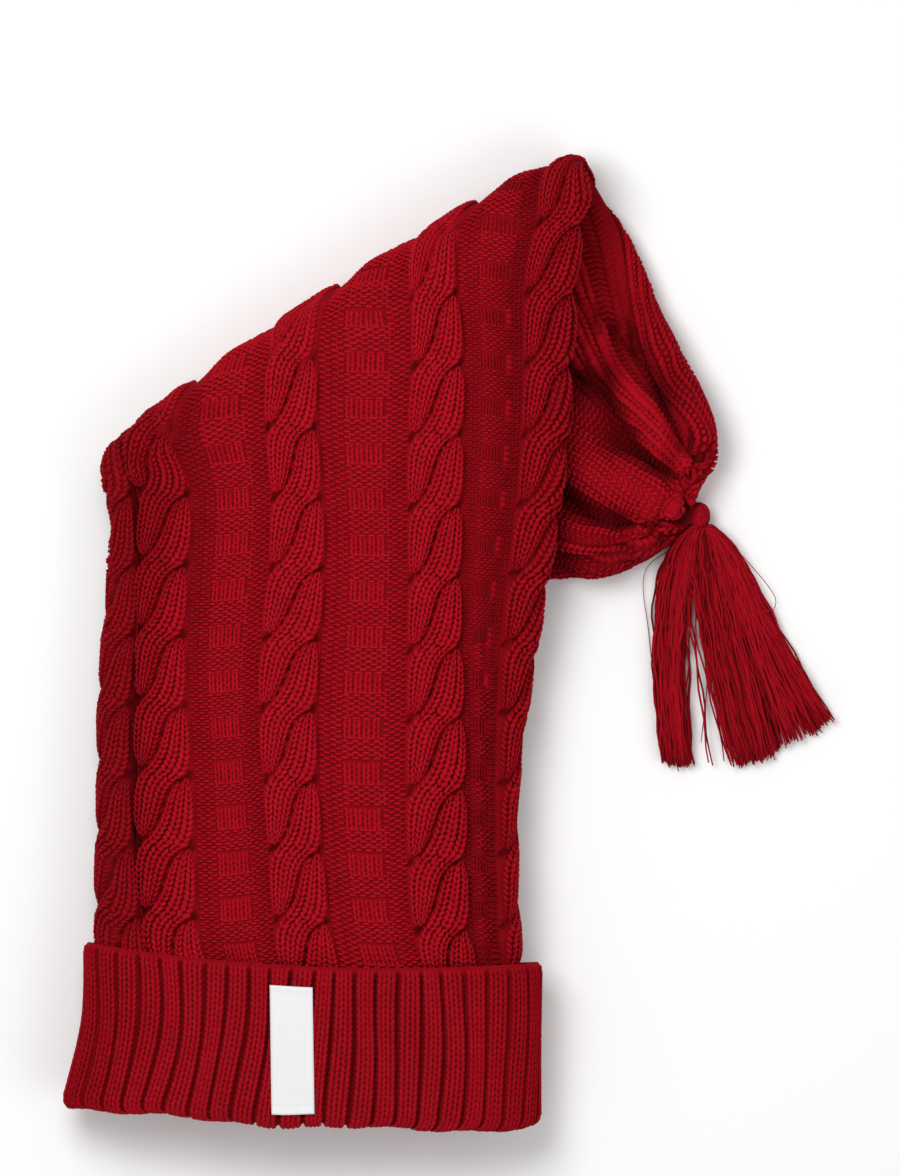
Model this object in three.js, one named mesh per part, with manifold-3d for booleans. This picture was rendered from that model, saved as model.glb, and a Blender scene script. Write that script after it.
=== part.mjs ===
// A long knitted hat that lies flat: a cable-knit crown folded back on a slant and tucked under itself,
// a ribbed cuff turned up on the outside, a bare woven label on the cuff and a thread tassel at the tip.
// Millimetres. +X is to the right of the front, +Y runs from the mouth to the fold, and z = 0 is the floor.
import * as THREE from "three";
import Module from "manifold-3d";

// Driving dimensions
const WALL = 3; // the knit between the cables
const GAP = 0.4; // clearance between pieces
const ROUNDNESS = 2.4; // power of the flattened tube's oval section
const FOLD_RADIUS = 13.25; // from the fold's axis to the middle of the tube
const FOLD_STEP = 30; // degrees from ring to ring round the fold
const RINGS_PER_ROW = 4; // rings of the loft between two rows of BODY
const TAIL_RINGS_PER_ROW = 2;
const OVAL_SAMPLES = 128;

// Cables
const REPEAT = 14; // stitches from one cable to the next
const STITCH = 4.2; // width of a stitch
const CABLE_HALF = 3.1; // stitches from a cable's middle to its edge
const CROSSING = 29.6; // length from one crossing to the next
const STRAND_SHIFT = 1.4; // stitches from a cable's middle to a strand's middle
const STRAND_HALF = 1.75; // stitches
const STRAND_RISE = 2.2; // height of a strand's own round back
const STRAND_LIFT = 2; // a strand rises and sinks by this as it crosses
const BACK_RELIEF = 0.35; // share of the cables' height left where the hat is pressed
const RELIEF_START = 24; // the cables grow to full height over this length above the mouth
const TUCK_DEPTH = 1.6; // the groove along the left side, between the first two cables
const LADDER_RISE = 0.8; // the column between two cables stands this proud of the ground
const COLUMNS = [-CABLE_HALF, -1.6, 0, 1.6, CABLE_HALF, 5, 7, 9]; // stitches from a cable's middle

// Where each cable runs round the tube: 0 is the left edge, 0.5 the right edge, and the front comes first.
// slot is the length from the mouth to the first place where its two strands lie side by side.
const CABLES = [
  { mouth: 0.049, fold: 0.012, slot: 7 },
  { mouth: 0.113, fold: 0.058, slot: 7 },
  { mouth: 0.2455, fold: 0.208, slot: 7.6 },
  { mouth: 0.408, fold: 0.35, slot: 10.1 },
  { mouth: 0.471, fold: 0.485, slot: 11.6 },
  { mouth: 0.655, fold: 0.655, slot: 10 },
  { mouth: 0.84, fold: 0.84, slot: 8 },
];

// Sections of the tube: both edges, with the height of its middle and its half thickness there.
const SECTION = ["name", "xl", "yl", "zl", "hl", "xr", "yr", "zr", "hr"];
const BODY = table(SECTION, [
  ["mouth", -87, -70.5, 26.6, 19, 89, -79.7, 26.6, 19],
  ["cuff_edge", -89, -50, 26, 22, 86, -55, 26, 22],
  ["low", -89.5, 0, 24, 25, 85, 8, 24.5, 25],
  ["waist", -88, 42, 23, 23.5, 92, 67, 28, 18],
  ["middle", -86, 82, 24.5, 18.5, 101.5, 128, 39, 11],
  ["upper", -85, 108, 29.5, 13.5, 107, 185, 39, 11],
  ["shoulder", -85, 122.5, 33.5, 11, 112, 228, 37.5, 10.5],
  ["fold_front", -85, 133, 36, 10, 117.5, 256, 36, 10],
]);
const TAIL = table(SECTION, [
  ["fold_back", -74, 135.5, 9.5, 9, 123, 254, 9.5, 9],
  ["tail_1", -34, 127, 9, 8.5, 133.5, 235, 9.5, 9],
  ["tail_2", 13, 115, 9, 8.5, 143.5, 212, 11, 10.5],
  ["tail_3", 55, 104, 10, 9.5, 153, 192, 13.5, 12.5],
  ["tail_4", 92, 95, 12, 11.5, 163, 171, 15.5, 15],
  ["tail_5", 118, 93, 13.5, 13, 169, 154, 15.5, 15],
  ["tail_6", 136, 97.5, 13, 12.5, 167.5, 141, 13.5, 13],
  ["tail_7", 148, 106.5, 10, 9.5, 163, 131, 10.5, 10],
  ["neck", 153, 114.5, 8, 6, 157.5, 124.5, 8, 6],
]);
const TIP = { x: 157.4, y: 119.3, z: 8 };
const PLEAT_DEPTH = 5; // the gathers towards the tip sink between the cables
const PLEAT_START = 0.3; // share of the tail that stays smooth
const HOLLOW_END = 0.7; // share of the tail that is hollow, short of the gathered tip

// Cuff
const RIBS = 46;
const RIB_DEPTH = 1.8;
const CUFF_DIP = 5.5; // its edges sag by this between the sides
const CUFF_LEVELS = table(SECTION, [
  ["edge", -94.5, -59.6, 26.4, 27, 97, -68, 26.4, 27],
  ["middle", -97.4, -92.4, 26.4, 27, 97.9, -102.9, 26.4, 27],
  ["turn", -104.3, -128, 26.4, 27, 96.5, -137.6, 26.4, 27],
]);
// Round the wall's section: level from edge (0) to turn (1), depth below the outer face,
// and the shares of the ribs and of the sag there.
const CUFF_PROFILE = table(["level", "inset", "rib", "dip"], [
  [0, 1.2, 0.3, 1],
  [0.05, 0, 0.5, 1],
  [0.12, 0, 1, 1],
  [0.5, 0, 1, 1],
  [0.93, 0, 1, 1],
  [0.98, 1.4, 0.8, 1],
  [1, 4.2, 0.4, 1],
  [0.97, 7.4, 0, 1],
  [0.85, 8.4, 0, 0.8],
  [0.5, 9.4, 0, 0.3],
  [0.212, 11, 0, 0],
  [0.212, 8, 0, 0],
  [0.5, 5.8, 0, 0.3],
  [0.88, 4.6, 0, 0.9],
  [0.88, 3.9, 0, 0.9],
  [0.01, 3.9, 0, 1],
]);

// Label
const LABEL = { width: 18, thickness: 0.8, topX: -7.7, bottomX: -6.9, top: 0.18, bottom: 0.887 };
const LABEL_FACETS = { across: 3, down: 6 };

// Tassel
const KNOT = { x: 163.6, y: 119.5, z: 7.6, rx: 5.6, ry: 7, rz: 6.2 };
const HEAD = { x: 166, y: 112, z: 6.8, rx: 7.5, ry: 7, rz: 6.6 };
const BALL_SIDES = { around: 14, down: 8 };
const LOCK_SIDES = 8;
const LOCK_STEPS = 5;
const LOCK_RADIUS = { head: 4.6, end: 3.4 };
const LOCKS = table(["bowX", "bowY", "endX", "endY", "width"], [
  [137, 100, 153.5, 16, 3.8],
  [148, 88, 159, 15, 4.2],
  [156, 74, 165.5, 15, 4],
  [169, 74, 173.5, 15.5, 4.2],
  [172, 78, 182, 16.2, 4.8],
  [175, 82, 191, 19.5, 4.8],
  [178, 84, 200, 23.5, 4.8],
  [182, 86, 208, 27.5, 4.6],
  [185, 87, 216, 32.5, 4.2],
]);

const YARN_RED = 0xa01022;
const LABEL_WHITE = 0xdadde1;

// Rows of a table as objects with named columns.
function table(names, rows) {
  return rows.map((row) => Object.fromEntries(names.map((name, i) => [name, row[i]])));
}

function smooth(low, high, value) {
  return THREE.MathUtils.smoothstep(value, low, high);
}

// A smooth curve through one column of a table, at a row number that may lie between two rows.
function along(rows, key, position) {
  const i = Math.min(Math.floor(position), rows.length - 2);
  const t = position - i;
  const pick = (k) => rows[THREE.MathUtils.clamp(k, 0, rows.length - 1)][key];
  const [p0, p1, p2, p3] = [pick(i - 1), pick(i), pick(i + 1), pick(i + 2)];
  const slope1 = (p2 - p0) / 2;
  const slope2 = (p3 - p1) / 2;
  const rise = p2 - p1;
  return p1 + t * (slope1 + t * (3 * rise - 2 * slope1 - slope2 + t * (slope1 + slope2 - 2 * rise)));
}

function sectionAt(rows, position, up) {
  const value = (key) => along(rows, key, position);
  return {
    left: new THREE.Vector3(value("xl"), value("yl"), value("zl")),
    right: new THREE.Vector3(value("xr"), value("yr"), value("zr")),
    thickLeft: value("hl"),
    thickRight: value("hr"),
    up,
  };
}

// The oval of a section, set in by inset, as points with outward normals and their share of the way round.
function oval(section, inset) {
  const middle = section.left.clone().add(section.right).multiplyScalar(0.5);
  const across = section.right.clone().sub(section.left).multiplyScalar(0.5);
  const halfWidth = across.length();
  across.normalize();
  const power = 2 / ROUNDNESS;
  const points = [];
  for (let i = 0; i <= OVAL_SAMPLES; i++) {
    const turn = (i / OVAL_SAMPLES) * 2 * Math.PI;
    const a = -Math.sign(Math.cos(turn)) * Math.abs(Math.cos(turn)) ** power;
    const b = Math.sign(Math.sin(turn)) * Math.abs(Math.sin(turn)) ** power;
    const thick = THREE.MathUtils.lerp(section.thickLeft, section.thickRight, (a + 1) / 2) - inset;
    const wide = halfWidth - inset;
    const at = middle.clone().addScaledVector(across, a * wide).addScaledVector(section.up, b * thick);
    at.z += (a * inset * (section.right.z - section.left.z)) / (2 * halfWidth);
    const normal = new THREE.Vector3()
      .addScaledVector(across, Math.sign(a) * Math.abs(a) ** (ROUNDNESS - 1) / wide)
      .addScaledVector(section.up, Math.sign(b) * Math.abs(b) ** (ROUNDNESS - 1) / thick)
      .normalize();
    points.push({ at, normal, across: a, share: 0 });
  }
  let length = 0;
  for (let i = 1; i <= OVAL_SAMPLES; i++) {
    length += points[i].at.distanceTo(points[i - 1].at);
    points[i].share = length;
  }
  points.forEach((point) => {
    point.share /= length;
  });
  return { points, length };
}

// The point of an oval at a share of the way round.
function onOval(ring, share) {
  const wanted = ((share % 1) + 1) % 1;
  let i = 1;
  while (i < OVAL_SAMPLES && ring.points[i].share < wanted) i++;
  const before = ring.points[i - 1];
  const after = ring.points[i];
  const t = (wanted - before.share) / Math.max(after.share - before.share, 1e-9);
  return {
    at: before.at.clone().lerp(after.at, t),
    normal: before.normal.clone().lerp(after.normal, t).normalize(),
    across: THREE.MathUtils.lerp(before.across, after.across, t),
  };
}

// The share of the way round at which the front of an oval passes x.
function shareAtX(ring, x) {
  const i = ring.points.findIndex((point) => point.at.x >= x);
  const before = ring.points[i - 1];
  const after = ring.points[i];
  const t = (x - before.at.x) / (after.at.x - before.at.x);
  return THREE.MathUtils.lerp(before.share, after.share, t);
}

// The crown's sections in order, each with its place along the body (0 to 1) and along the tail (0 to 1).
function crownSections() {
  const up = new THREE.Vector3(0, 0, 1);
  const list = [];
  const bodySteps = (BODY.length - 1) * RINGS_PER_ROW;
  for (let i = 0; i <= bodySteps; i++)
    list.push({ section: sectionAt(BODY, i / RINGS_PER_ROW, up), body: i / bodySteps, fold: 0, tail: 0 });
  const front = list[bodySteps].section;
  const back = sectionAt(TAIL, 0, up.clone().negate());
  const line = front.right.clone().sub(front.left).setZ(0).normalize();
  const outward = new THREE.Vector3(-line.y, line.x, 0);
  for (let degrees = FOLD_STEP; degrees < 180; degrees += FOLD_STEP) {
    const turn = THREE.MathUtils.degToRad(degrees);
    const share = (1 - Math.cos(turn)) / 2;
    const reach = outward.clone().multiplyScalar(FOLD_RADIUS * Math.sin(turn));
    const place = (key) => front[key].clone().lerp(back[key], share).add(reach);
    const facing = outward.clone().multiplyScalar(Math.sin(turn)).addScaledVector(up, Math.cos(turn));
    const thick = THREE.MathUtils.lerp(front.thickLeft, back.thickLeft, share);
    const edges = { left: place("left"), right: place("right"), thickLeft: thick, thickRight: thick };
    list.push({ section: { ...edges, up: facing }, body: 1, fold: degrees / 180, tail: 0 });
  }
  const tailSteps = (TAIL.length - 1) * TAIL_RINGS_PER_ROW;
  for (let i = 0; i <= tailSteps; i++) {
    const section = sectionAt(TAIL, i / TAIL_RINGS_PER_ROW, up.clone().negate());
    list.push({ section, body: 1, fold: 1, tail: i / tailSteps });
  }
  return list;
}

// The share of the way round of each column of the crown at a place along the body.
function columnShares(body, perimeter) {
  const count = CABLES.length;
  const cable = (k) => {
    const { mouth, fold } = CABLES[(k + count) % count];
    return THREE.MathUtils.lerp(mouth, fold, body) + Math.floor(k / count);
  };
  const half = (k) => Math.min((CABLE_HALF * STITCH) / perimeter, 0.42 * (cable(k + 1) - cable(k)));
  const shares = [];
  for (let k = 0; k < count; k++)
    for (const stitch of COLUMNS) {
      const inCable = Math.abs(stitch) <= CABLE_HALF;
      const side = stitch < 0 ? half(k - 1) : half(k);
      const start = cable(k) + half(k);
      const between = (stitch - CABLE_HALF) / (REPEAT - 2 * CABLE_HALF);
      const free = cable(k + 1) - half(k) - start;
      shares.push(inCable ? cable(k) + (stitch / CABLE_HALF) * side : start + between * free);
    }
  return shares;
}

// Height of a cable over the ground: two strands twisted round each other.
function cableHeight(stitch, length) {
  let height = 0;
  for (const start of [0, Math.PI]) {
    const turn = (Math.PI * length) / CROSSING + start;
    const aside = (stitch + STRAND_SHIFT * Math.cos(turn)) / STRAND_HALF;
    if (Math.abs(aside) >= 1) continue;
    const back = STRAND_RISE * Math.sqrt(1 - aside * aside);
    height = Math.max(height, (STRAND_LIFT * (1 + Math.sin(turn))) / 2 + back);
  }
  return height;
}

// Share of the cables' height that is left at a place on the crown.
function reliefShare(place, share, length) {
  const front = share > 0 && share < 0.5;
  const grown = smooth(0, RELIEF_START, length) * (1 - smooth(0.75, 0.95, place.tail));
  if (place.tail > 0) return grown * (front ? BACK_RELIEF : smooth(0.2, 0.5, place.tail) * 0.8);
  if (front) return grown * (1 - 0.5 * place.fold);
  return grown * BACK_RELIEF * (1 - smooth(0.4, 0.7, place.body));
}

// How deep the gathers are at a place along the tail.
function pleatDepth(place) {
  return PLEAT_DEPTH * smooth(PLEAT_START, 0.7, place.tail) * (1 - smooth(0.8, 1, place.tail));
}

// How far the outer skin sinks at a column: the groove on the left and the gathers of the tail.
function sink(place, column) {
  const repeat = Math.floor(column / COLUMNS.length);
  const stitch = COLUMNS[column % COLUMNS.length];
  const pastCable = Math.max(stitch - CABLE_HALF, 0) / (REPEAT - 2 * CABLE_HALF);
  const between = 0.5 - 0.5 * Math.cos(2 * Math.PI * pastCable);
  const groove = TUCK_DEPTH * smooth(0, 0.15, place.body) * (1 - smooth(0.8, 1, place.body));
  return between * (repeat === 0 ? groove : pleatDepth(place));
}

// A closed wall: an outer and an inner skin that meet at the mouth and each close at the tip.
function crownGeometry() {
  const places = crownSections();
  const count = CABLES.length * COLUMNS.length;
  const lengths = new Array(count).fill(0);
  const outer = [];
  const inner = [];
  let last = null;
  places.forEach((place, step) => {
    const outside = oval(place.section, 0);
    const inside = oval(place.section, WALL + pleatDepth(place));
    const shares = columnShares(place.body, outside.length);
    const ground = shares.map((share) => onOval(outside, share));
    if (last) ground.forEach((point, i) => (lengths[i] += point.at.distanceTo(last[i].at)));
    last = ground;
    outer.push(
      ground.map((point, i) => {
        const stitch = COLUMNS[i % COLUMNS.length];
        const inCable = Math.abs(stitch) < CABLE_HALF;
        const { slot } = CABLES[Math.floor(i / COLUMNS.length)];
        const proud = inCable ? cableHeight(stitch, lengths[i] - slot) : stitch === 7 ? LADDER_RISE : 0;
        const share = ((shares[i] % 1) + 1) % 1;
        const height = proud * reliefShare(place, share, lengths[i]) - sink(place, i);
        const at = point.at.clone().addScaledVector(point.normal, height);
        return at.setZ(Math.max(at.z, 0));
      }),
    );
    if (step % 2 === 0 && place.tail <= HOLLOW_END)
      inner.push(
        shares
          .filter((_, i) => i % 2 === 0)
          .map((share) => {
            const { at } = onOval(inside, share);
            return at.setZ(Math.max(at.z, WALL));
          }),
      );
  });
  const outerTip = new THREE.Vector3(TIP.x, TIP.y, TIP.z);
  const innerTip = centre(inner[inner.length - 1]).lerp(outerTip, 0.15);
  return shell(outer, outerTip, inner, innerTip);
}

// Triangles of a loft of rings with count points each, from index start.
function strips(triangles, start, rings, count, flip) {
  for (let j = 0; j + 1 < rings; j++)
    for (let i = 0; i < count; i++) {
      const a = start + j * count + i;
      const b = start + j * count + ((i + 1) % count);
      const quad = [a, b, b + count, a, b + count, a + count];
      triangles.push(...(flip ? quad.reverse() : quad));
    }
}

function fan(triangles, ring, count, tip, flip) {
  for (let i = 0; i < count; i++) {
    const three = [ring + i, ring + ((i + 1) % count), tip];
    triangles.push(...(flip ? three.reverse() : three));
  }
}

function shell(outer, outerTip, inner, innerTip) {
  const points = [...outer.flat(), outerTip, ...inner.flat(), innerTip];
  const wide = outer[0].length;
  const narrow = inner[0].length;
  const outerEnd = wide * outer.length;
  const innerStart = outerEnd + 1;
  const triangles = [];
  strips(triangles, 0, outer.length, wide, false);
  fan(triangles, outerEnd - wide, wide, outerEnd, false);
  strips(triangles, innerStart, inner.length, narrow, true);
  fan(triangles, innerStart + narrow * (inner.length - 1), narrow, points.length - 1, true);
  for (let i = 0; i < narrow; i++) {
    const [a, b, c] = [2 * i, 2 * i + 1, (2 * i + 2) % wide];
    const [p, q] = [innerStart + i, innerStart + ((i + 1) % narrow)];
    triangles.push(b, a, p, b, p, q, c, b, q);
  }
  return closedGeometry(points, triangles);
}

// An indexed geometry whose faces point out.
function closedGeometry(points, triangles) {
  let volume = 0;
  for (let i = 0; i < triangles.length; i += 3) {
    const [a, b, c] = [points[triangles[i]], points[triangles[i + 1]], points[triangles[i + 2]]];
    volume += a.dot(b.clone().cross(c));
  }
  const geometry = new THREE.BufferGeometry();
  const numbers = points.flatMap((p) => [p.x, p.y, p.z]);
  geometry.setAttribute("position", new THREE.Float32BufferAttribute(numbers, 3));
  geometry.setIndex(volume < 0 ? [...triangles].reverse() : triangles);
  geometry.computeVertexNormals();
  return geometry;
}

// The cuff's surface at a level, a depth below its outer face and a share of the way round.
function cuffRing(level, inset, dip) {
  const up = new THREE.Vector3(0, 0, 1);
  const ring = oval(sectionAt(CUFF_LEVELS, level * (CUFF_LEVELS.length - 1), up), inset);
  ring.points.forEach((point) => {
    point.at.y -= dip * CUFF_DIP * (1 - point.across ** 2);
  });
  return ring;
}

function cuffGeometry() {
  const count = 2 * RIBS;
  const rings = CUFF_PROFILE.map(({ level, inset, rib, dip }) => {
    const ring = cuffRing(level, inset, dip);
    return Array.from({ length: count }, (_, i) => {
      const { at, normal } = onOval(ring, i / count);
      const groove = i % 2 ? rib * RIB_DEPTH : 0;
      at.addScaledVector(normal, -groove);
      return at.setZ(Math.max(at.z, 0));
    });
  });
  const triangles = [];
  strips(triangles, 0, rings.length + 1, count, false);
  const total = rings.length * count;
  return closedGeometry(rings.flat(), triangles.map((index) => index % total));
}

// A thin plate that follows the cuff's face.
function labelGeometry() {
  const columns = LABEL_FACETS.across + 1;
  const layer = (lift) => {
    const rows = [];
    for (let j = 0; j <= LABEL_FACETS.down; j++) {
      const ring = cuffRing(THREE.MathUtils.lerp(LABEL.top, LABEL.bottom, j / LABEL_FACETS.down), -lift, 1);
      const middle = shareAtX(ring, THREE.MathUtils.lerp(LABEL.topX, LABEL.bottomX, j / LABEL_FACETS.down));
      for (let i = 0; i < columns; i++) {
        const aside = (i / LABEL_FACETS.across - 0.5) * (LABEL.width / ring.length);
        rows.push(onOval(ring, middle + aside).at);
      }
    }
    return rows;
  };
  const points = [...layer(GAP), ...layer(GAP + LABEL.thickness)];
  const size = columns * (LABEL_FACETS.down + 1);
  const triangles = [];
  const quad = (a, b, c, d) => triangles.push(a, b, c, a, c, d);
  for (let j = 0; j < LABEL_FACETS.down; j++)
    for (let i = 0; i < LABEL_FACETS.across; i++) {
      const a = j * columns + i;
      quad(a, a + 1, a + columns + 1, a + columns);
      quad(size + a, size + a + columns, size + a + columns + 1, size + a + 1);
    }
  const rim = [];
  for (let i = 0; i < LABEL_FACETS.across; i++) rim.push(i);
  for (let j = 0; j < LABEL_FACETS.down; j++) rim.push(j * columns + LABEL_FACETS.across);
  for (let i = LABEL_FACETS.across; i > 0; i--) rim.push(LABEL_FACETS.down * columns + i);
  for (let j = LABEL_FACETS.down; j > 0; j--) rim.push(j * columns);
  rim.forEach((a, k) => {
    const b = rim[(k + 1) % rim.length];
    quad(b, a, size + a, size + b);
  });
  return closedGeometry(points, triangles);
}

// One lock of the tassel: a tapering tube from the head to its end, flat where it lies on the floor.
function lockGeometry({ bowX, bowY, endX, endY, width }) {
  const curve = new THREE.QuadraticBezierCurve(
    new THREE.Vector2(HEAD.x, HEAD.y),
    new THREE.Vector2(bowX, bowY),
    new THREE.Vector2(endX, endY),
  );
  const rings = [];
  for (let j = 0; j <= LOCK_STEPS; j++) {
    const t = j / LOCK_STEPS;
    const middle = curve.getPoint(t);
    const way = curve.getTangent(t);
    const high = THREE.MathUtils.lerp(LOCK_RADIUS.head, LOCK_RADIUS.end, t);
    const wide = width * (0.65 + 0.35 * smooth(0, 0.5, t));
    const ring = [];
    for (let i = 0; i < LOCK_SIDES; i++) {
      const turn = ((i + 0.5) / LOCK_SIDES) * 2 * Math.PI;
      const aside = wide * Math.cos(turn);
      const z = Math.max(high * 0.9 + high * Math.sin(turn), 0);
      ring.push(new THREE.Vector3(middle.x - way.y * aside, middle.y + way.x * aside, z));
    }
    rings.push(ring);
  }
  const points = [...rings.flat(), centre(rings[0]), centre(rings[LOCK_STEPS])];
  const triangles = [];
  strips(triangles, 0, rings.length, LOCK_SIDES, false);
  fan(triangles, 0, LOCK_SIDES, points.length - 2, true);
  fan(triangles, LOCK_STEPS * LOCK_SIDES, LOCK_SIDES, points.length - 1, false);
  return closedGeometry(points, triangles);
}

function centre(ring) {
  return ring.reduce((sum, point) => sum.add(point), new THREE.Vector3()).divideScalar(ring.length);
}

// An ellipsoid with its poles at top and bottom.
function ballGeometry({ x, y, z, rx, ry, rz }) {
  const rings = [];
  for (let j = 1; j < BALL_SIDES.down; j++) {
    const tilt = (j / BALL_SIDES.down) * Math.PI;
    rings.push(
      Array.from({ length: BALL_SIDES.around }, (_, i) => {
        const turn = (i / BALL_SIDES.around) * 2 * Math.PI;
        const wide = Math.sin(tilt);
        return new THREE.Vector3(
          x + rx * wide * Math.cos(turn),
          y + ry * wide * Math.sin(turn),
          z + rz * Math.cos(tilt),
        );
      }),
    );
  }
  const points = [...rings.flat(), new THREE.Vector3(x, y, z + rz), new THREE.Vector3(x, y, z - rz)];
  const triangles = [];
  strips(triangles, 0, rings.length, BALL_SIDES.around, false);
  fan(triangles, 0, BALL_SIDES.around, points.length - 2, true);
  fan(triangles, (rings.length - 1) * BALL_SIDES.around, BALL_SIDES.around, points.length - 1, false);
  return closedGeometry(points, triangles);
}

const wasm = await Module();
wasm.setup();

function toSolid(geometry) {
  return new wasm.Manifold(
    new wasm.Mesh({
      numProp: 3,
      vertProperties: new Float32Array(geometry.attributes.position.array),
      triVerts: new Uint32Array(geometry.index.array),
    }),
  );
}

function fused(geometries) {
  const mesh = wasm.Manifold.union(geometries.map(toSolid)).getMesh();
  const points = [];
  for (let i = 0; i < mesh.numVert; i++)
    points.push(new THREE.Vector3().fromArray(mesh.vertProperties, i * mesh.numProp));
  return closedGeometry(points, Array.from(mesh.triVerts));
}

function tasselGeometry() {
  return fused([ballGeometry(KNOT), ballGeometry(HEAD), ...LOCKS.map(lockGeometry)]);
}

function named(name, geometry, color, roughness) {
  const mesh = new THREE.Mesh(geometry, new THREE.MeshStandardMaterial({ color, roughness, metalness: 0 }));
  mesh.name = name;
  return mesh;
}

const hat = new THREE.Group();
hat.name = "santa_hat";
hat.add(
  named("crown", crownGeometry(), YARN_RED, 0.9),
  named("cuff", cuffGeometry(), YARN_RED, 0.9),
  named("label", labelGeometry(), LABEL_WHITE, 0.7),
  named("tassel", tasselGeometry(), YARN_RED, 0.85),
);

export default hat;
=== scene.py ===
# A long cable-knit hat that lies flat, with every visible stitch as a small closed lobe of yarn on a knitted
# ground. Shapes are worked out in millimetres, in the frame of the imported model, and made in metres.
import math

import bpy
import numpy as np
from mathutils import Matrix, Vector


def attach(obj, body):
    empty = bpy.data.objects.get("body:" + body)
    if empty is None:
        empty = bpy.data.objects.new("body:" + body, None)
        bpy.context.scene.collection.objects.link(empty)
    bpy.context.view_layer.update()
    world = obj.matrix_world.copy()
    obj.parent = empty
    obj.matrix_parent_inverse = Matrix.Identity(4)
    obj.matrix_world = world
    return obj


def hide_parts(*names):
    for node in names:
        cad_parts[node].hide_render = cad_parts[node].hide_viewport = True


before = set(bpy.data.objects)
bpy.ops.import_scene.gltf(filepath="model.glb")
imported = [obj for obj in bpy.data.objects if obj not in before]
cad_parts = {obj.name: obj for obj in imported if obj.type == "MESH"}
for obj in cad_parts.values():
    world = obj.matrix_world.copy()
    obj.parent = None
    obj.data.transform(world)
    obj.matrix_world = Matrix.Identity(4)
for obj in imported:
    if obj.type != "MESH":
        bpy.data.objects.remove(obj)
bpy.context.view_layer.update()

MM = 0.001
RNG = np.random.default_rng(11)

# The photograph's frame and where it lies on the floor
IMAGE_WIDTH = 900
IMAGE_HEIGHT = 1176
MM_PER_PIXEL = 0.42
ORIGIN_PIXEL = (310, 800)
CAMERA_HEIGHT = 8000.0
CAMERA_PLANE = 25.0  # height at which the scale holds
CAMERA_REACH = 20  # in metres
SENSOR = 36.0

# The tube of the crown, close to the one in the part's source
WALL = 3.0
ROUNDNESS = 2.4
FOLD_RADIUS = 13.25
FOLD_LEFT = 0.62  # share of it at the left end
FOLD_THICK = 10.0
OVAL_SAMPLES = 256
BODY_RINGS = 20  # rings of the ground between two rows of BODY
FOLD_RINGS = 20
TAIL_RINGS = 14
REST_HEIGHT = 0.9  # least height of the skin over the floor, and twice that of its ground
# Sections: the left point and the half thickness there, and the same at the right
BODY_ROWS = (
    (-86, -70.5, 26.6, 19, 88, -79.7, 26.6, 19),
    (-86.3, -50, 26, 22, 83, -55, 26, 22),
    (-85, 0, 24, 25, 82.6, 8, 24.5, 25),
    (-84.6, 42, 23, 23.5, 90.6, 67, 28, 18),
    (-82.2, 82, 24.5, 18.5, 100.8, 128, 39, 11),
    (-81.2, 108, 29.5, 13.5, 105.5, 185, 39, 11),
    (-81.6, 122.5, 33.5, 11, 110.5, 228, 37.5, 10.5),
    (-83, 133, 36, 10, 117.5, 256, 36, 10),
)
TAIL_ROWS = (
    (-74, 135.5, 9.5, 9, 123, 254, 9.5, 9),
    (-34, 127, 9, 8.5, 133.5, 235, 9.5, 9),
    (13, 115, 9, 8.5, 143.5, 212, 11, 10.5),
    (55, 104, 10, 9.5, 153, 192, 13.5, 12.5),
    (92, 95, 12, 11.5, 163, 171, 15.5, 15),
    (118, 94.5, 13.5, 13, 169, 154, 15.5, 15),
    (136, 101, 13, 12.5, 167.5, 141, 13.5, 13),
    (148, 108.5, 10, 9.5, 163, 131, 10.5, 10),
    (155.5, 111, 8.5, 8, 162, 125.5, 8.5, 8),
)
TIP = np.array((161.5, 118, 8.0))
HOLLOW_END = 0.15  # the hollow's part of the tail
INNER_TIP = 0.15  # from its last ring towards the tip

# The knitted pattern: a repeat of cable, purl, ladder and purl columns
REPEAT = 14
STITCH = 4.2
ROW = 2.4
CABLE_HALF = 2.75
CABLE_EDGE = 2.9  # half width of a cable, in stitches
CABLE_ROOM = 0.47  # its largest share of the gap to the next
CROSSING = 29.6
# The seam between two leaves of a cable, in millimetres across and along it from the middle of the slot
SEAM = np.array((
    (-12.5, -17), (-9.3, -15.2), (-6.9, -13), (-4.7, -9.8), (-2.2, -4.9), (-0.6, 0),
    (0.95, 4.4), (2.2, 7.8), (3.9, 10.4), (6.3, 12.6), (9.3, 14.5), (12.5, 16),
))
LEAF_EDGE = (12.9, 2.7)  # half width of a cable beside a leaf's middle, and how much less at its ends
LEAF_PINCH = 15  # length from there to where it is least
LEAST_LEAF = 0.5  # least width of a leaf
LEAF_INSET = (0.6, 0.3)  # of a leaf's stitches from its sides, along a slot and along a hook
SLOT_REACH = (7, 12)  # along the seam from the slot's middle, where the slot ends and the hook is
LEAF_WALES = (-0.667, 0, 0.667)  # from a leaf's left side (-1) to its right (1)
LEAF_RISE = (2.2, 3.2)  # of a leaf's ends, and of its middle over them
LEAF_DOME = (3.5, 7)  # how flat a leaf is across, along a slot and elsewhere
LEAF_ENDS = ((-18, -5), (34, 46.5))  # along the leaf, where it comes up and goes down
# Painted shade: factors by which a leaf's ends, which tuck under the next leaf, and its outer wales are
# darker
END_SHADE = 0.74
SIDE_SHADE = 0.9
RIDGE_RISE = 0.7  # of a cable along the tail, as a share of a leaf's
RIDGE_DOME = 3
RIDGE_COLUMN = 0.92  # width of its wales, in stitches
RIDGE_WALES = 6
RIDGE_SPAN = 3  # the most wales taken as one
BACK_RELIEF = 0.35
TAIL_RELIEF = 0.75
FRONT_EDGES = ((-0.045, 0.03), (0.5, 0.54))  # round the hat, where the front's relief starts and ends
RELIEF_ENDS = ((0, 14), (0.8, 0.97))  # lengths where it grows, and places along the tail where it fades
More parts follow.
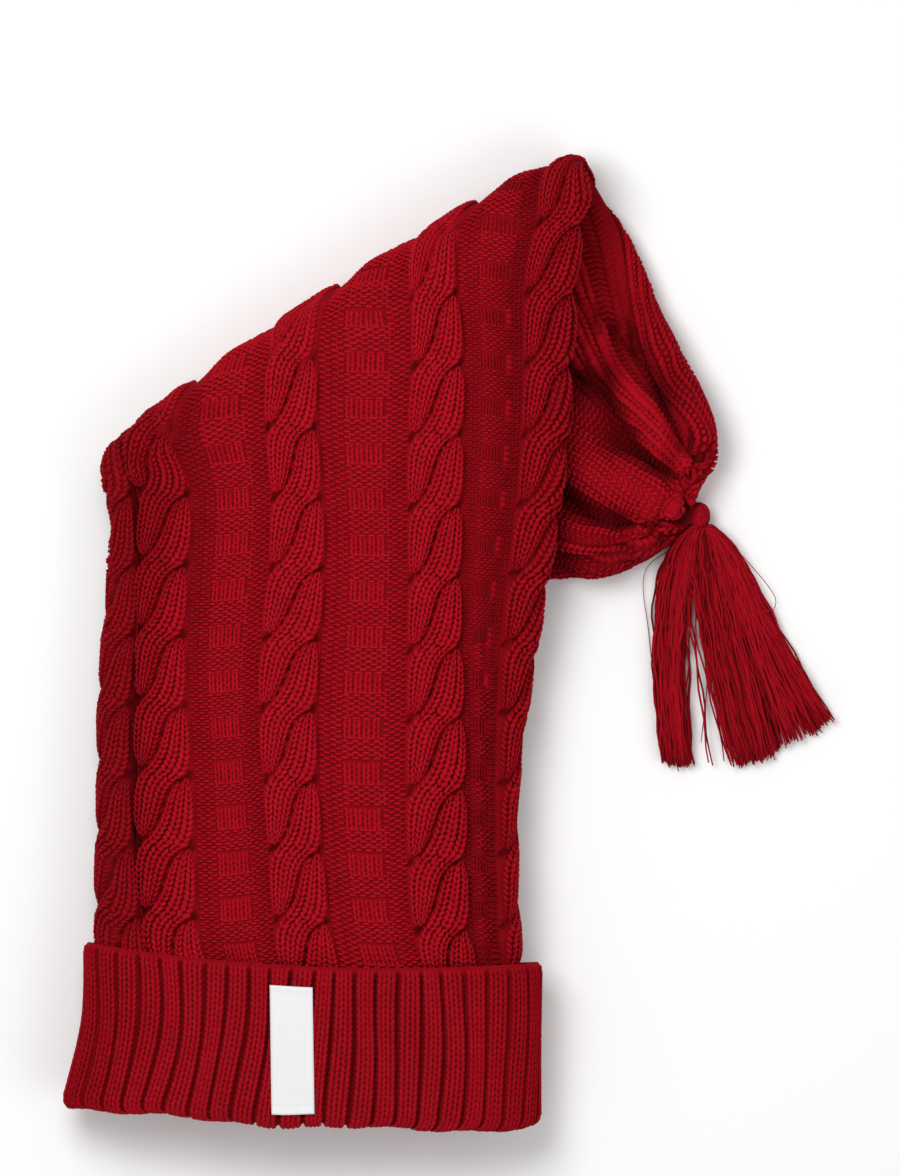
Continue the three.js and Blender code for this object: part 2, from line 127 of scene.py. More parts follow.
FOLD_FADE = (0.2, 0.8)  # round the fold, where the front's relief falls to the back's
BACK_FADE = (0.4, 0.7)  # along the body, where the back's relief ends
TAIL_START = (0.15, 0.4)  # along the tail, where its own relief starts
LADDER_RISE = 1.2  # of the purl between two bars
LADDER_SIDES = ((4.4, 5.4), (8.6, 9.6))
BAR_RISE = -0.2  # of the bars over the skin
# Painted shade: factor by which the sunk bars are darker
BAR_SHADE = 0.55
BAR_WIDTH = 0.85
BAR_COVER = 0.15  # how far the purl comes over a bar's ends
LADDER_PERIOD = 19.15
LADDER_BAR = 126.2  # length at the middle of a row of bars
LENGTH_AT_ORIGIN = 75.0  # lengths along the wales are counted so that they agree across the front
HIDDEN_LENGTH = 1.0  # below this the cuff covers the crown
PURL_WALES = (3.3, 4.4, 9.35, 10.4)
# Painted shade: factor by which the low purl strips beside the cables are darker
PURL_SHADE = 0.6
PURL_HIGH = 0.8
BLOCK_HIGH = 0.6
BLOCK_WALES = (5.5, 6.5, 7.5, 8.5)
BAR_WALES = (5.7, 6.6, 7.5, 8.4)
NARROW = 0.5  # of a stitch's width, below which two wales are taken as one
CROWDED = 0.27  # below which four are
LOST = 0.07  # and below which a wale carries no stitches
# Cables: share of the way round at the mouth and at the fold, length at a slot, height of the ground, lower
# on the front to leave the slots open, and depth of the groove to the right
CABLES = (
    (0.04, -0.006, 13.6, 0.96, 2.6),
    (0.108, 0.043, 13.6, 0.8, 0),
    (0.253, 0.186, 10.2, 0.78, 0),
    (0.417, 0.335, 7.4, 0.78, 2.4),
    (0.512, 0.466, 10.2, 0.86, 0),
    (0.665, 0.70, 10.2, 0.96, 0),
    (0.84, 0.90, 10.2, 0.96, 0),
)
CABLE_MOUTH, CABLE_FOLD, CABLE_SLOT, CABLE_GROUND, CABLE_TUCK = (np.array(column) for column in zip(*CABLES))
WALES = REPEAT * len(CABLES)
WALE_COLUMNS = 4 * WALES
SCALLOP = 3.4  # how far the ladders swell along the fold
SCALLOP_POWER = 4
WANDER = (0.0028, 1.3)  # of the wales round the hat, as a share of it, and of the rows along it
WANDER_WAVES = (14, 0.21, 0.37)  # angle along the body, angle from wale to wale, and the latter for the rows
GROOVE_ENDS = ((0, 0.1), (0.85, 1))  # along the body, where the grooves start and end
GROUND_FADE = (0, 0.3)  # round the fold, where the ground comes up to the stitches
TAIL_CALM = 0.04  # along the tail, where bars and crossings end
# Painted shade: the yarn is darkened where the skin sinks into creases and grooves, along the hat's sides,
# which turn away from the light, and besides along the crown's left side
SINK_SHADE = 0.9  # shade lost where the skin has sunk by SINK_FULL
SINK_FULL = 9.0
EDGE_SHADE = 0.55  # shade lost along the hat's sides
EDGE_START = 0.6
LEFT_SHADE = 0.24  # and lost besides along the crown's left side
LEFT_REACH = (0.15, 0.03)  # round the hat, where that starts and is full
TAIL_ROLL = 0.045  # share of the way round by which the tail is twisted
ROLL_END = 0.4
FOLD_SLANT = 0.6  # slope of the fold's line across the wales
FOLD_TURN = 4  # how fast the slant changes at the sides
BODY_COVER = (0.52, 0.95, 95)  # shares of the way round between which the back is bare, above this Y
TAIL_COVER = 14  # further than this under the body the tail is bare
END_BARE = 3  # length without stitches at the end of each wale

# The ground under the stitches, with painted shade: it shows only in gaps and slots, so it is coloured dark
GROUND_STEP = 2
GROUND_SINK = 0.55
GROUND_SHADE = 0.25
INSIDE_SHADE = 0.4
LEAF_SHADE = 0.5  # of the ground under a leaf, where it has its full height
LEAF_GROUND = (1, 3)  # heights between which that shade comes up

# Lobes of yarn: place of their two rings, drop of their tips, depth below, and painted shade of their ten
# points
# the painted shade is dark at the base and tips, where the yarn dips into the ground
LOBE_RING = 0.5
LOBE_DROP = 0.5
LOBE_BASE = 0.8
LOBE_SHADE = np.array((0.36, 0.8, 1, 0.8, 0.24, 0.8, 1, 0.8, 0.24, 0.36))
FLOOR_GAP = 0.03  # least height of the yarn over the floor
LEAST_SCALE = 0.3  # of a stitch's thickness, where wales are narrow
STITCH_SINK = 0.2  # of a cable's stitches
# A leg's foot and head, in stitches from the wale's middle, and its half length in rows
BAR_LEG = (0.1, 0.38, 0.84)
CABLE_LEG = (0.06, 0.41, 0.74)
TAIL_LEG = (0.02, 0.45, 0.54)
LEG_TILT = 0.3  # how far to both sides the slope across a stitch is taken
LEG_SHAKE = 0.14
LEG_HALF = (1.04, 0.1)  # half width, and how uneven it is
LEG_HIGH = (0.3, 0.65)  # half height: a part of its own, and a share of the half width
# The two loops of a purl stitch: place across and along, and bow
PURL_LOOPS = ((0, 0.25, -0.24), (0.5, 0.75, 0.24))
PURL_REACH = 0.47
PURL_SHAKE = 0.1
PURL_HALF = (0.66, 0.05)
PURL_LEAST = 0.6
LATTICE_STEPS = 400
LEAST_WIDTH = 1.2

# Creases of the tail, with round ridges between them: share of the way round and depth
CREASES = np.array(((0.5, 0), (0.575, 11), (0.66, 14.5), (0.82, 14), (0.905, 9.5), (1, 0)))
CREASE_WANDER = (0.022, 2.3, 3)  # share of the way round, waves along the tail and phase
CREASE_POWER = 2.4
CREASE_ENDS = ((0.08, 0.32), (0.85, 1))  # along the tail, where they start and end
# Pits of the tail, as waves: depth, waves round, angle along it and phase
PITS = ((2.2, 7, 19, 0), (1.5, 6, -31, 1), (0.8, 0, 47, 0))
PIT_DEPTH = 2.4
PIT_START = (0.5, 0.56)

# The cuff
RIBS = 46
RIB_COLUMNS = 8
RIB_DEPTH = 2.6
RIB_FORM = (0.25, 0.75, 0.68)  # shares of its round back and of its steep sides, and where they start
# How the ribs and the lower edge wander, as waves: reach, waves round, angle along the cuff and phase
RIB_WAVES = ((0.0022, 3, 4, 1), (0.001, 11, -6, 0), (0.0007, 19, 0, 0))
EDGE_WAVES = ((0.9, 5, 0, 0.8), (0.6, 13, 0, 2))
CUFF_DIP = (5.5, 3.6)  # sag of its upper and lower edge between the sides
CUFF_ROW = 2.5
CUFF_ROWS = (
    (-94.5, -59.6, 26.4, 27, 97, -68, 26.4, 27),
    (-95.4, -92.4, 26.4, 27, 96.4, -102.9, 26.4, 27),
    (-104.3, -128, 26.4, 27, 96.5, -137.6, 26.4, 27),
)
# Round the cuff's wall: level from its edge (0) to the turn (1), depth below the face, shares of ribs and sag
CUFF_PROFILE = (
    (0, 1.2, 0.15, 1),
    (0.04, 0, 0.25, 1),
    (0.1, 0, 1, 1),
    (0.5, 0, 1, 1),
    (0.93, 0, 1, 1),
    (0.98, 1.4, 0.9, 1),
    (1, 4.2, 0.6, 1),
    (0.97, 7.4, 0.2, 1),
    (0.85, 8.4, 0, 0.8),
    (0.5, 9.4, 0, 0.3),
    (0.212, 11, 0, 0),
    (0.212, 8, 0, 0),
    (0.5, 5.8, 0, 0.3),
    (0.88, 4.6, 0, 0.9),
    (0.88, 3.9, 0, 0.9),
    (0.01, 3.9, 0, 1),
)
PROFILE_STEPS = 6
FACE_ROWS = 8  # of the profile
CUFF_SINK = 0.5
CUFF_LOW = 0.3  # least height of its ground over the floor
# Painted shade of the cuff's ground, darker in the grooves between the ribs
CUFF_SHADE = (0.34, 0.28, 0.1)  # of its ground, less in the grooves and more inside
# Depth of the grooves between the ribs along the way round
GROOVE_SHARES = (0, 0.025, 0.06, 0.15, 0.25, 0.36, 0.42, 0.465, 0.5, 0.53, 0.97, 1)
GROOVE_DEPTHS = (0.35, 0.6, 0.95, 0.85, 1, 0.95, 0.75, 0.5, 0.3, 0.8, 0.8, 0.35)
NOTCH = 1.7  # of the grooves in the cuff's lower edge
NOTCH_START = 0.9
LEG_PLACES = (-0.3, -0.1, 0.1, 0.3)  # of a rib's pitch, from its middle
RIB_ENDS = (0.6, 1)
RIB_LEAN = 0.05
RIB_SHAKE = 0.12
RIB_REACH = 0.85
RIB_HALF = (0.98, 0.06)
RIB_HIGH = (0.25, 0.6)
RIB_PROBE = (0.004, 0.8)  # how far round and down the slope is taken

# The label
LABEL_WIDTH = 18.0
LABEL_LENGTH = 55.0
LABEL_THICKNESS = 0.8
LABEL_LIFT = 0.5
LABEL_X = (-7.7, -6.9)
LABEL_LEVEL = (0.168, 0.88)
LABEL_CELLS = (18, 54)
LABEL_TURN = (3.2, 2.4)  # length at its ends that is turned under
LABEL_RISE = 0.25
LABEL_DENT = 0.25  # share of the cuff's grooves that shows in it
LABEL_EDGE = (0.12, 0.3)  # share of its half width that bends down, and how far

# The tassel
KNOT = np.array((163.6, 119.5, 7.6))
KNOT_RADII = np.array((4.7, 5.6, 5.4))
KNOT_ROUNDS = 64
KNOT_STEPS = 36
KNOT_SIDES = 5
KNOT_THREAD = 0.42
KNOT_WINDING = (0.9, 0.96)
KNOT_ACROSS = np.array((0.3, 0.8, 0.5))
HEAD = np.array((165.2, 114.3, 6.8))
CLUMPS = 90
CLUMP_THREADS = 8
THREAD_RADIUS = 0.4
THREAD_STEPS = 26
THREAD_SIDES = 4
THREAD_SHADES = (0.06, 1)
THREAD_WIDTHS = (0.8, 1.2)
THREAD_TAPER = (0.35, 0.9)  # of its end, and where that starts
THREAD_SPREAD = 0.9
STRAY_RADIUS = 0.16
CLUMP_PULL = 1.0
CLUMP_WANDER = 0.8
CLUMP_LOOSE = (0.3, 0.08)  # in the thin gap and in the locks
LAYER_SPREAD = 0.1
HEAD_SPREAD = (6, 0.6)  # from side to side, and at random
SHOULDER_TUCK = (9, -2.0)  # of the highest layer, inwards and along Y
HEAD_HEIGHT = (3.0, 8.0)  # of the lowest layer, and of the highest over it
FOOT_HEIGHT = (0.5, 5.8)
FALL_END = 0.5
# Waves of a thread: reach, and waves along it
THREAD_WAVES = ((0.9, 1.8), (0.5, 5.3))
WAVE_START = (0.1, 0.4)
# Curves that the threads follow from left to right: shoulder, bow and end
GUIDES = np.array((
    (143, 110, 142, 70, 150.4, 16),
    (162.6, 109, 152.4, 66, 159.6, 15.5),
    (155.4, 109, 164, 74, 179.2, 15.5),
    (174, 108, 179, 74, 192, 18.5),
    (185, 108, 188.6, 78, 218.8, 33.6),
))
# Shares of the clumps and where they lie among the guides: the left lock, the thin gap and the right lock
BUNDLES = (
    (0.32, 0.0, 0.98),
    (0.012, 1.2, 1.8),
    (0.66, 2.02, 4.0),
)
# Loose threads beside the tassel, by four points each
STRAYS = (
    ((175, 110, 6), (195.3, 86, 4), (193.2, 73.5, 1.5), (205.8, 54.6, 0.6)),
    ((157, 108, 6), (141, 96, 3), (142.5, 70, 1.2), (146, 40, 0.6)),
    ((164, 100, 6), (163, 78, 3), (167, 52, 1.2), (164.5, 24, 0.6)),
)

# Colours of the yarn by its painted shade, from dark at its shaded base to lit at its top, and of the ribbon
# and the floor
DEEP = (0.07, 0.0003, 0.0012)
MIDDLE = (0.325, 0.003, 0.009)
LIGHT = (0.33, 0.004, 0.011)
SHEEN = (0.75, 0.06, 0.1, 1)
# Yarns: name, scale of the fibres, weight of the sheen and gain of the colours
YARNS = (
    ("crown_yarn", 1900.0, 0.12, 1.16),
    ("cuff_yarn", 1900.0, 0.12, 1.0),
    ("tassel_yarn", 2600.0, 0.2, 1.1),
)
RIBBON = ((0.7, 0.7, 0.71), (0.93, 0.93, 0.93))
FLOOR = ((0.93, 0.93, 0.93), (0.95, 0.95, 0.95))
FLOOR_HALF = 3.0
WORLD_STRENGTH = 0.5
# Lights: name, place, target, size and power
LIGHTS = (
    ("key", (-0.22, 0.32, 0.95), (0.03, 0.05, 0), 0.5, 6.5),
    ("fill", (1.2, -0.6, 1.4), (0.05, 0.05, 0), 1.4, 7.5),
)


def unit(vectors):
    return vectors / np.maximum(np.linalg.norm(vectors, axis=-1, keepdims=True), 1e-9)


def smooth(low, high, value):
    share = np.clip((value - low) / (high - low), 0, 1)
    return share * share * (3 - 2 * share)


def mix(first, second, share):
    return first + (second - first) * share


# From 0 to 1 over the first pair of values and back over the second.
def plateau(ends, value):
    return smooth(*ends[0], value) * (1 - smooth(*ends[1], value))


# The sum of the steps before each place.
def running(steps):
    return np.concatenate([[0], np.cumsum(steps)])


# A sum of waves at an angle round and a place along.
def waves(rows, turn, way):
    return sum(reach * np.sin(around * turn + down * way + phase) for reach, around, down, phase in rows)


# The value of a grid at a row and a column that may lie between its points. Its columns close on themselves.
def bilinear(grid, row, column):
    j = np.minimum(np.floor(row).astype(int), len(grid) - 2)
    i = np.floor(column).astype(int)
    v = (row - j)[..., None]
    u = (column - i)[..., None]
    i0 = i % grid.shape[1]
    i1 = (i + 1) % grid.shape[1]
    return mix(mix(grid[j, i0], grid[j, i1], u), mix(grid[j + 1, i0], grid[j + 1, i1], u), v)


# A smooth curve through the rows of a table, at a row number that may lie between two rows.
def along(rows, position):
    i = min(int(position), len(rows) - 2)
    t = position - i
    p0, p1, p2, p3 = (np.array(rows[k], float) for k in (max(i - 1, 0), i, i + 1, min(i + 2, len(rows) - 1)))
    slope1 = (p2 - p0) / 2
    slope2 = (p3 - p1) / 2
    rise = p2 - p1
    return p1 + t * (slope1 + t * (3 * rise - 2 * slope1 - slope2 + t * (slope1 + slope2 - 2 * rise)))


def section_at(rows, position, up):
    row = along(rows, position)
    return {"left": row[0:3], "right": row[4:7], "thick": (row[3], row[7]), "up": np.array(up, float)}


# The oval of a section, set in by inset: points, their share of the way round, and its length.
def oval(section, inset=0.0):
    turn = np.linspace(0, 2 * math.pi, OVAL_SAMPLES + 1)
    a = -np.sign(np.cos(turn)) * np.abs(np.cos(turn)) ** (2 / ROUNDNESS)
    b = np.sign(np.sin(turn)) * np.abs(np.sin(turn)) ** (2 / ROUNDNESS)
    middle = (section["left"] + section["right"]) / 2
    across = (section["right"] - section["left"]) / 2
    half_width = np.linalg.norm(across)
    thick = mix(section["thick"][0], section["thick"][1], (a + 1) / 2) - inset
    at = middle + np.outer(a * (half_width - inset), across / half_width) + np.outer(b * thick, section["up"])
    share = running(np.linalg.norm(np.diff(at, axis=0), axis=1))
    return {"at": at, "across": a, "share": share / share[-1], "length": share[-1]}


def on_oval(ring, share):
    wanted = np.mod(share, 1)
    return np.stack([np.interp(wanted, ring["share"], ring["at"][:, c]) for c in range(3)], axis=-1)


# The crown's sections from the mouth over the fold to the tip, with their places on body, fold and tail.
def crown_sections():
    up = np.array((0.0, 0.0, 1.0))
    body_steps = (len(BODY_ROWS) - 1) * BODY_RINGS
    tail_steps = (len(TAIL_ROWS) - 1) * TAIL_RINGS
    places = []
    for i in range(body_steps + 1):
        places.append((section_at(BODY_ROWS, i / BODY_RINGS, up), i / body_steps, 0, 0))
    front = places[-1][0]
    back = section_at(TAIL_ROWS, 0, -up)
    line = unit((front["right"] - front["left"]) * (1, 1, 0))
    outward = np.array((-line[1], line[0], 0))
    for i in range(1, FOLD_RINGS):
        turn = math.pi * i / FOLD_RINGS
        share = (1 - math.cos(turn)) / 2
        reach = outward * FOLD_RADIUS * math.sin(turn)
        left_reach = FOLD_LEFT * reach
        thick = mix(front["thick"][0], back["thick"][0], share)
        section = {
            "left": mix(front["left"], back["left"], share) + left_reach,
            "right": mix(front["right"], back["right"], share) + reach,
            "thick": (thick, thick),
            "up": outward * math.sin(turn) + up * math.cos(turn),
        }
        places.append((section, 1, i / FOLD_RINGS, 0))
    for i in range(tail_steps + 1):
        places.append((section_at(TAIL_ROWS, i / TAIL_RINGS, -up), 1, 1, i / tail_steps))
    return places


# The share of the way round of each wale, at a place along the body.
def wale_shares(wales, body, perimeter):
    count = len(CABLES)
    order = np.arange(-1, count + 2)
    middle = mix(CABLE_MOUTH, CABLE_FOLD, body)[order % count] + order // count
    gap = np.diff(middle, append=middle[-1] + 0.1)
    half = np.minimum(CABLE_HALF * STITCH / perimeter, CABLE_ROOM * gap)
    before = np.concatenate([half[:1], half[:-1]])
    knots = np.concatenate([REPEAT * order - CABLE_HALF, REPEAT * order, REPEAT * order + CABLE_HALF])
    shares = np.concatenate([middle - before, middle, middle + half])
    rank = np.argsort(knots)
    return np.interp(wales, knots[rank], shares[rank])


def stitch_of(wales):
    return np.mod(wales + CABLE_HALF, REPEAT) - CABLE_HALF


def repeat_of(wales):
    return np.mod(np.floor((wales + CABLE_HALF) / REPEAT), len(CABLES)).astype(int)


# How far the crown's skin sinks: the grooves of the body, less its swelling along the fold, and the tail's
# creases and pits.
def sink_depth(wales, share, body, fold, tail):
    past = np.maximum(stitch_of(wales) - CABLE_HALF, 0) / (REPEAT - 2 * CABLE_HALF)
    between = 0.5 - 0.5 * np.cos(2 * math.pi * past**2)
    groove = CABLE_TUCK[repeat_of(wales)] * plateau(GROOVE_ENDS, body)
    swell = SCALLOP * np.sin(math.pi * fold) * np.sin(math.pi * stitch_of(wales) / REPEAT) ** SCALLOP_POWER
    reach, count, phase = CREASE_WANDER
    around = np.mod(share + reach * np.sin(2 * math.pi * count * tail + phase), 1)
    ridge = np.clip(np.searchsorted(CREASES[:, 0], around) - 1, 0, len(CREASES) - 2)
    low, high = CREASES[ridge, 0], CREASES[ridge + 1, 0]
    way = np.clip((around - low) / (high - low), 0, 1)
    crease = mix(CREASES[ridge, 1], CREASES[ridge + 1, 1], way) * np.abs(2 * way - 1) ** CREASE_POWER
    pits = np.maximum(PIT_DEPTH + waves(PITS, 2 * math.pi * share, tail), 0) * smooth(*PIT_START, around)
    gathered = plateau(CREASE_ENDS, tail) * np.where(around > CREASES[0, 0], crease + pits, 0)
    return between * groove - swell + gathered


# Share of the pattern's full height at a place on the crown.
def relief_share(share, length, body, fold, tail):
    turned = np.mod(share + 0.25, 1) - 0.25
    front = plateau(FRONT_EDGES, turned)
    grown = smooth(*RELIEF_ENDS[0], length) * (1 - smooth(*RELIEF_ENDS[1], tail))
    over_fold = mix(1, BACK_RELIEF, smooth(*FOLD_FADE, fold))
    on_back = BACK_RELIEF * (1 - smooth(*BACK_FADE, body))
    on_body = front * over_fold + (1 - front) * on_back
    on_tail = front * BACK_RELIEF + (1 - front) * TAIL_RELIEF * smooth(*TAIL_START, tail)
    return grown * np.where(tail > 0, on_tail, on_body)


# Round the fold the wales keep their slant to its line, so they move along it.
def fold_shear(share, fold, perimeter):
    turn = math.pi * np.minimum(fold, 1 - fold)
    side = np.clip(FOLD_TURN * np.sin(2 * math.pi * share), -1, 1)
    return side * FOLD_SLANT * (FOLD_RADIUS + FOLD_THICK) * turn / perimeter


def surface_normals(at):
    around = np.roll(at, -1, 1) - np.roll(at, 1, 1)
    return unit(np.cross(around, np.gradient(at, axis=0)))


# The crown's surface on a grid of rings and wales, and the same charted by length along each wale.
def crown_chart():
    places = crown_sections()
    wales = np.arange(WALE_COLUMNS) * WALES / WALE_COLUMNS
    body, fold, tail = (np.array([place[k] for place in places], float)[:, None] for k in (1, 2, 3))
    rings = [oval(place[0]) for place in places]
    share = np.array([wale_shares(wales, place[1], ring["length"]) for place, ring in zip(places, rings)])
    share += fold_shear(share, fold, np.array([[ring["length"]] for ring in rings]))
    bend = np.sin(WANDER_WAVES[0] * body + WANDER_WAVES[1] * wales) * smooth(*GROOVE_ENDS[0], body)
    share += TAIL_ROLL * smooth(0, ROLL_END, tail) + WANDER[0] * bend
    at = np.array([on_oval(ring, row) for ring, row in zip(rings, share)])
    steps = np.linalg.norm(np.diff(at, axis=0), axis=2)
    start = at[:1, :, 1] + LENGTH_AT_ORIGIN + WANDER[1] * np.sin(WANDER_WAVES[2] * wales + 1)
    length = np.concatenate([start, start + np.cumsum(steps, axis=0)])
    sink = sink_depth(wales, share, body, fold, tail)
    at = at - surface_normals(at) * sink[..., None]
    at[..., 2] = np.maximum(at[..., 2], REST_HEIGHT)
    normal = surface_normals(at)
    relief = relief_share(share, length, body, fold, tail)
    values = np.stack([relief, np.broadcast_to(tail, share.shape), np.mod(share, 1), sink], axis=2)
    layers = np.concatenate([at, normal, values], axis=2)
    marks = np.arange(length.min(), length.max() + ROW / 2, ROW / 2)
    chart = np.empty((len(marks), WALE_COLUMNS, layers.shape[2]))
    for i in range(WALE_COLUMNS):
        for c in range(layers.shape[2]):
            chart[:, i, c] = np.interp(marks, length[:, i], layers[:, i, c])
    return {"places": places, "wales": wales, "at": at, "normal": normal, "relief": relief, "length": length,
            "chart": chart, "marks": marks, "ends": length[-1]}


CROWN = crown_chart()


# Point, normal, relief, place along the tail, share of the way round and sink at a wale and a length.
def sample(wale, length):
    chart = CROWN["chart"]
    row = np.clip((length - CROWN["marks"][0]) / (ROW / 2), 0, len(chart) - 1.001)
    value = bilinear(chart, row, np.mod(wale, WALES) * WALE_COLUMNS / WALES)
    return value[..., 0:3], unit(value[..., 3:6]), *np.moveaxis(value[..., 6:], -1, 0)


# Painted shade of the yarn at a place: darker where the skin sinks into creases, along the hat's sides and
# along the crown's left side.
def shade_at(wale, length):
    share, sink = sample(wale, length)[4:]
    left_shade = 1 - LEFT_SHADE * smooth(*LEFT_REACH, np.minimum(share, 1 - share))
    return side_shade(share) * left_shade * (1 - SINK_SHADE * np.clip(sink / SINK_FULL, 0, 1))


# Painted shade along the hat's sides, where the surface turns away from the light.
def side_shade(share):
    return 1 - EDGE_SHADE * smooth(EDGE_START, 1, np.abs(np.cos(2 * math.pi * share)))


# The leaf that a place on a cable belongs to, counted along it from its first slot.
def leaf_of(stitch, length):
    return np.floor((length - np.interp(stitch * STITCH, SEAM[:, 0], SEAM[:, 1])) / CROSSING)


def seam_across(rise):
    return np.interp(rise, SEAM[:, 1], SEAM[:, 0])


# The left and right side of a leaf at a height over the slot that it starts from.
def leaf_sides(rise):
    edge, pinch = LEAF_EDGE
    left_edge = edge - pinch * np.clip(rise / LEAF_PINCH, -1, 1) ** 2
    right_edge = edge - pinch * np.clip((rise - CROSSING) / LEAF_PINCH, -1, 1) ** 2
    return np.maximum(seam_across(rise - CROSSING), -left_edge), np.minimum(seam_across(rise), right_edge)


def dome(offset, half, power):
    return (1 - np.clip(np.abs(offset) / half, 0, 1) ** power) ** 0.5


# Height of a leaf at a place from its left (-1) to its right (1). Its ends lie under other leaves.
def leaf_height(place, rise):
    off_slot = smooth(*SLOT_REACH, np.abs(rise - np.where(place > 0, 0, CROSSING)))
    return (LEAF_RISE[0] + LEAF_RISE[1] * leaf_lift(rise)) * dome(place, 1, mix(*LEAF_DOME, off_slot))


def leaf_lift(rise):
    return plateau(LEAF_ENDS, rise)


# Along the tail the cables run on as plain ridges.
def ridge_height(stitch):
    return (LEAF_RISE[0] + RIDGE_RISE * LEAF_RISE[1]) * dome(stitch, CABLE_EDGE, RIDGE_DOME)


def cable_height(stitch, length, tail):
    near = np.abs(stitch) < CABLE_EDGE
    height = np.zeros(np.broadcast(stitch, length).shape)
    rise = length[near] - leaf_of(stitch[near], length[near]) * CROSSING
    left, right = leaf_sides(rise)
    place = (2 * stitch[near] * STITCH - left - right) / np.maximum(right - left, LEAST_LEAF)
    height[near] = leaf_height(place, rise)
    return np.where(tail > TAIL_CALM, ridge_height(stitch), height)


def on_tail(wale, length):
    return sample(wale, length)[3] > TAIL_CALM


# The tail shows no bars.
def has_bar(wale, length, least=0.0):
    bar = np.cos(2 * math.pi * (length - LADDER_BAR) / LADDER_PERIOD) > least
    return bar & ~on_tail(wale, length)


# The purl between two bars of a ladder swells.
def ladder_height(stitch, length):
    swell = 0.5 - 0.5 * np.cos(2 * math.pi * (length - LADDER_BAR) / LADDER_PERIOD)
    return LADDER_RISE * swell * plateau(LADDER_SIDES, stitch)


# Height of the whole pattern over the ground, on a grid of wales and lengths.
def pattern_height(wales, length, fold, tail):
    stitch = stitch_of(wales)
    cable = repeat_of(wales)
    ground = mix(CABLE_GROUND[cable], 1, smooth(*GROUND_FADE, fold))
    return ground * cable_height(stitch, length - CABLE_SLOT[cable], tail) + ladder_height(stitch, length)


def add_object(name, data):
    obj = bpy.data.objects.new(name, data)
    bpy.context.scene.collection.objects.link(obj)
    return obj


# A mesh object from vertices in millimetres and lists of faces with the same number of corners.
def make_object(name, vertices, face_lists, attributes, material):
    mesh = bpy.data.meshes.new(name)
    mesh.vertices.add(len(vertices))
    mesh.vertices.foreach_set("co", (np.asarray(vertices) * MM).astype(np.float32).ravel())
    corners = np.concatenate([faces.ravel() for faces in face_lists]).astype(np.int32)
    sizes = np.concatenate([np.full(len(faces), faces.shape[1]) for faces in face_lists])
    starts = np.concatenate([[0], np.cumsum(sizes)[:-1]]).astype(np.int32)
    mesh.loops.add(len(corners))
    mesh.loops.foreach_set("vertex_index", corners)
    mesh.polygons.add(len(starts))
    mesh.polygons.foreach_set("loop_start", starts)
    mesh.update(calc_edges=True)
    mesh.shade_smooth()
    for key, values in attributes.items():
        layer = mesh.attributes.new(key, "FLOAT", "POINT")
        layer.data.foreach_set("value", np.asarray(values, np.float32))
    mesh.materials.append(material)
    return add_object(name, mesh)


# Quads of a grid of rings, each closed on itself, from index start.
def ring_quads(rings, count, start=0, flip=False):
    j, i = np.meshgrid(np.arange(rings - 1), np.arange(count), indexing="ij")
    a = start + j * count + i
    b = start + j * count + (i + 1) % count
    quads = np.stack([a, b, b + count, a + count], axis=-1).reshape(-1, 4)
    return quads[:, ::-1] if flip else quads


# Triangles from a closed ring of points, from index start, to a point.
def fan(start, count, tip, flip=False):
    i = np.arange(count)
    faces = np.stack([start + i, start + (i + 1) % count, np.full(count, tip)], axis=-1)
    return faces[:, (1, 0, 2)] if flip else faces


def lobe_faces():
    faces = []
    for i in range(4):
        k = (i + 1) % 4
        faces += [(0, 1 + i, 1 + k), (1 + i, 5 + i, 5 + k), (1 + i, 5 + k, 1 + k), (5 + i, 9, 5 + k)]
    return np.array(faces)


# Closed lobes of yarn from start to end, with their tips dropped into the ground and pulled aside by bend.
def lobe_points(start, end, up, half_width, half_height, bend=0.0):
    middle = (start + end) / 2
    reach = (end - start) / 2
    side = unit(np.cross(reach, up))
    high = unit(np.cross(side, reach)) * half_height[:, None]
    wide = side * half_width[:, None]
    drop = bend - LOBE_DROP * high
    points = [middle - reach + drop]
    for place in (-LOBE_RING, LOBE_RING):
        points += [middle + place * reach + offset for offset in (wide, high, -wide, -LOBE_BASE * high)]
    points.append(middle + reach + drop)
    return np.stack(points, axis=1)


# One object of many lobes, with a painted shade from base to top and a tint for each lobe.
def lobe_object(name, groups, material):
    points = np.concatenate([group[0] for group in groups])
    points[..., 2] = np.maximum(points[..., 2], FLOOR_GAP)
    count = len(points)
    shade = np.outer(np.concatenate([group[1] for group in groups]), LOBE_SHADE).ravel()
    faces = (lobe_faces()[None] + len(LOBE_SHADE) * np.arange(count)[:, None, None]).reshape(-1, 3)
    tint = np.repeat(RNG.random(count), len(LOBE_SHADE))
    return make_object(name, points.reshape(-1, 3), [faces], {"shade": shade, "tint": tint}, material)


# Grid of wales and rows as flat lists.
def knit_places(wales, first, last):
    rows = np.arange(first, last, ROW)
    wale, length = np.meshgrid(np.asarray(wales, float), rows, indexing="ij")
    return wale.ravel(), length.ravel()


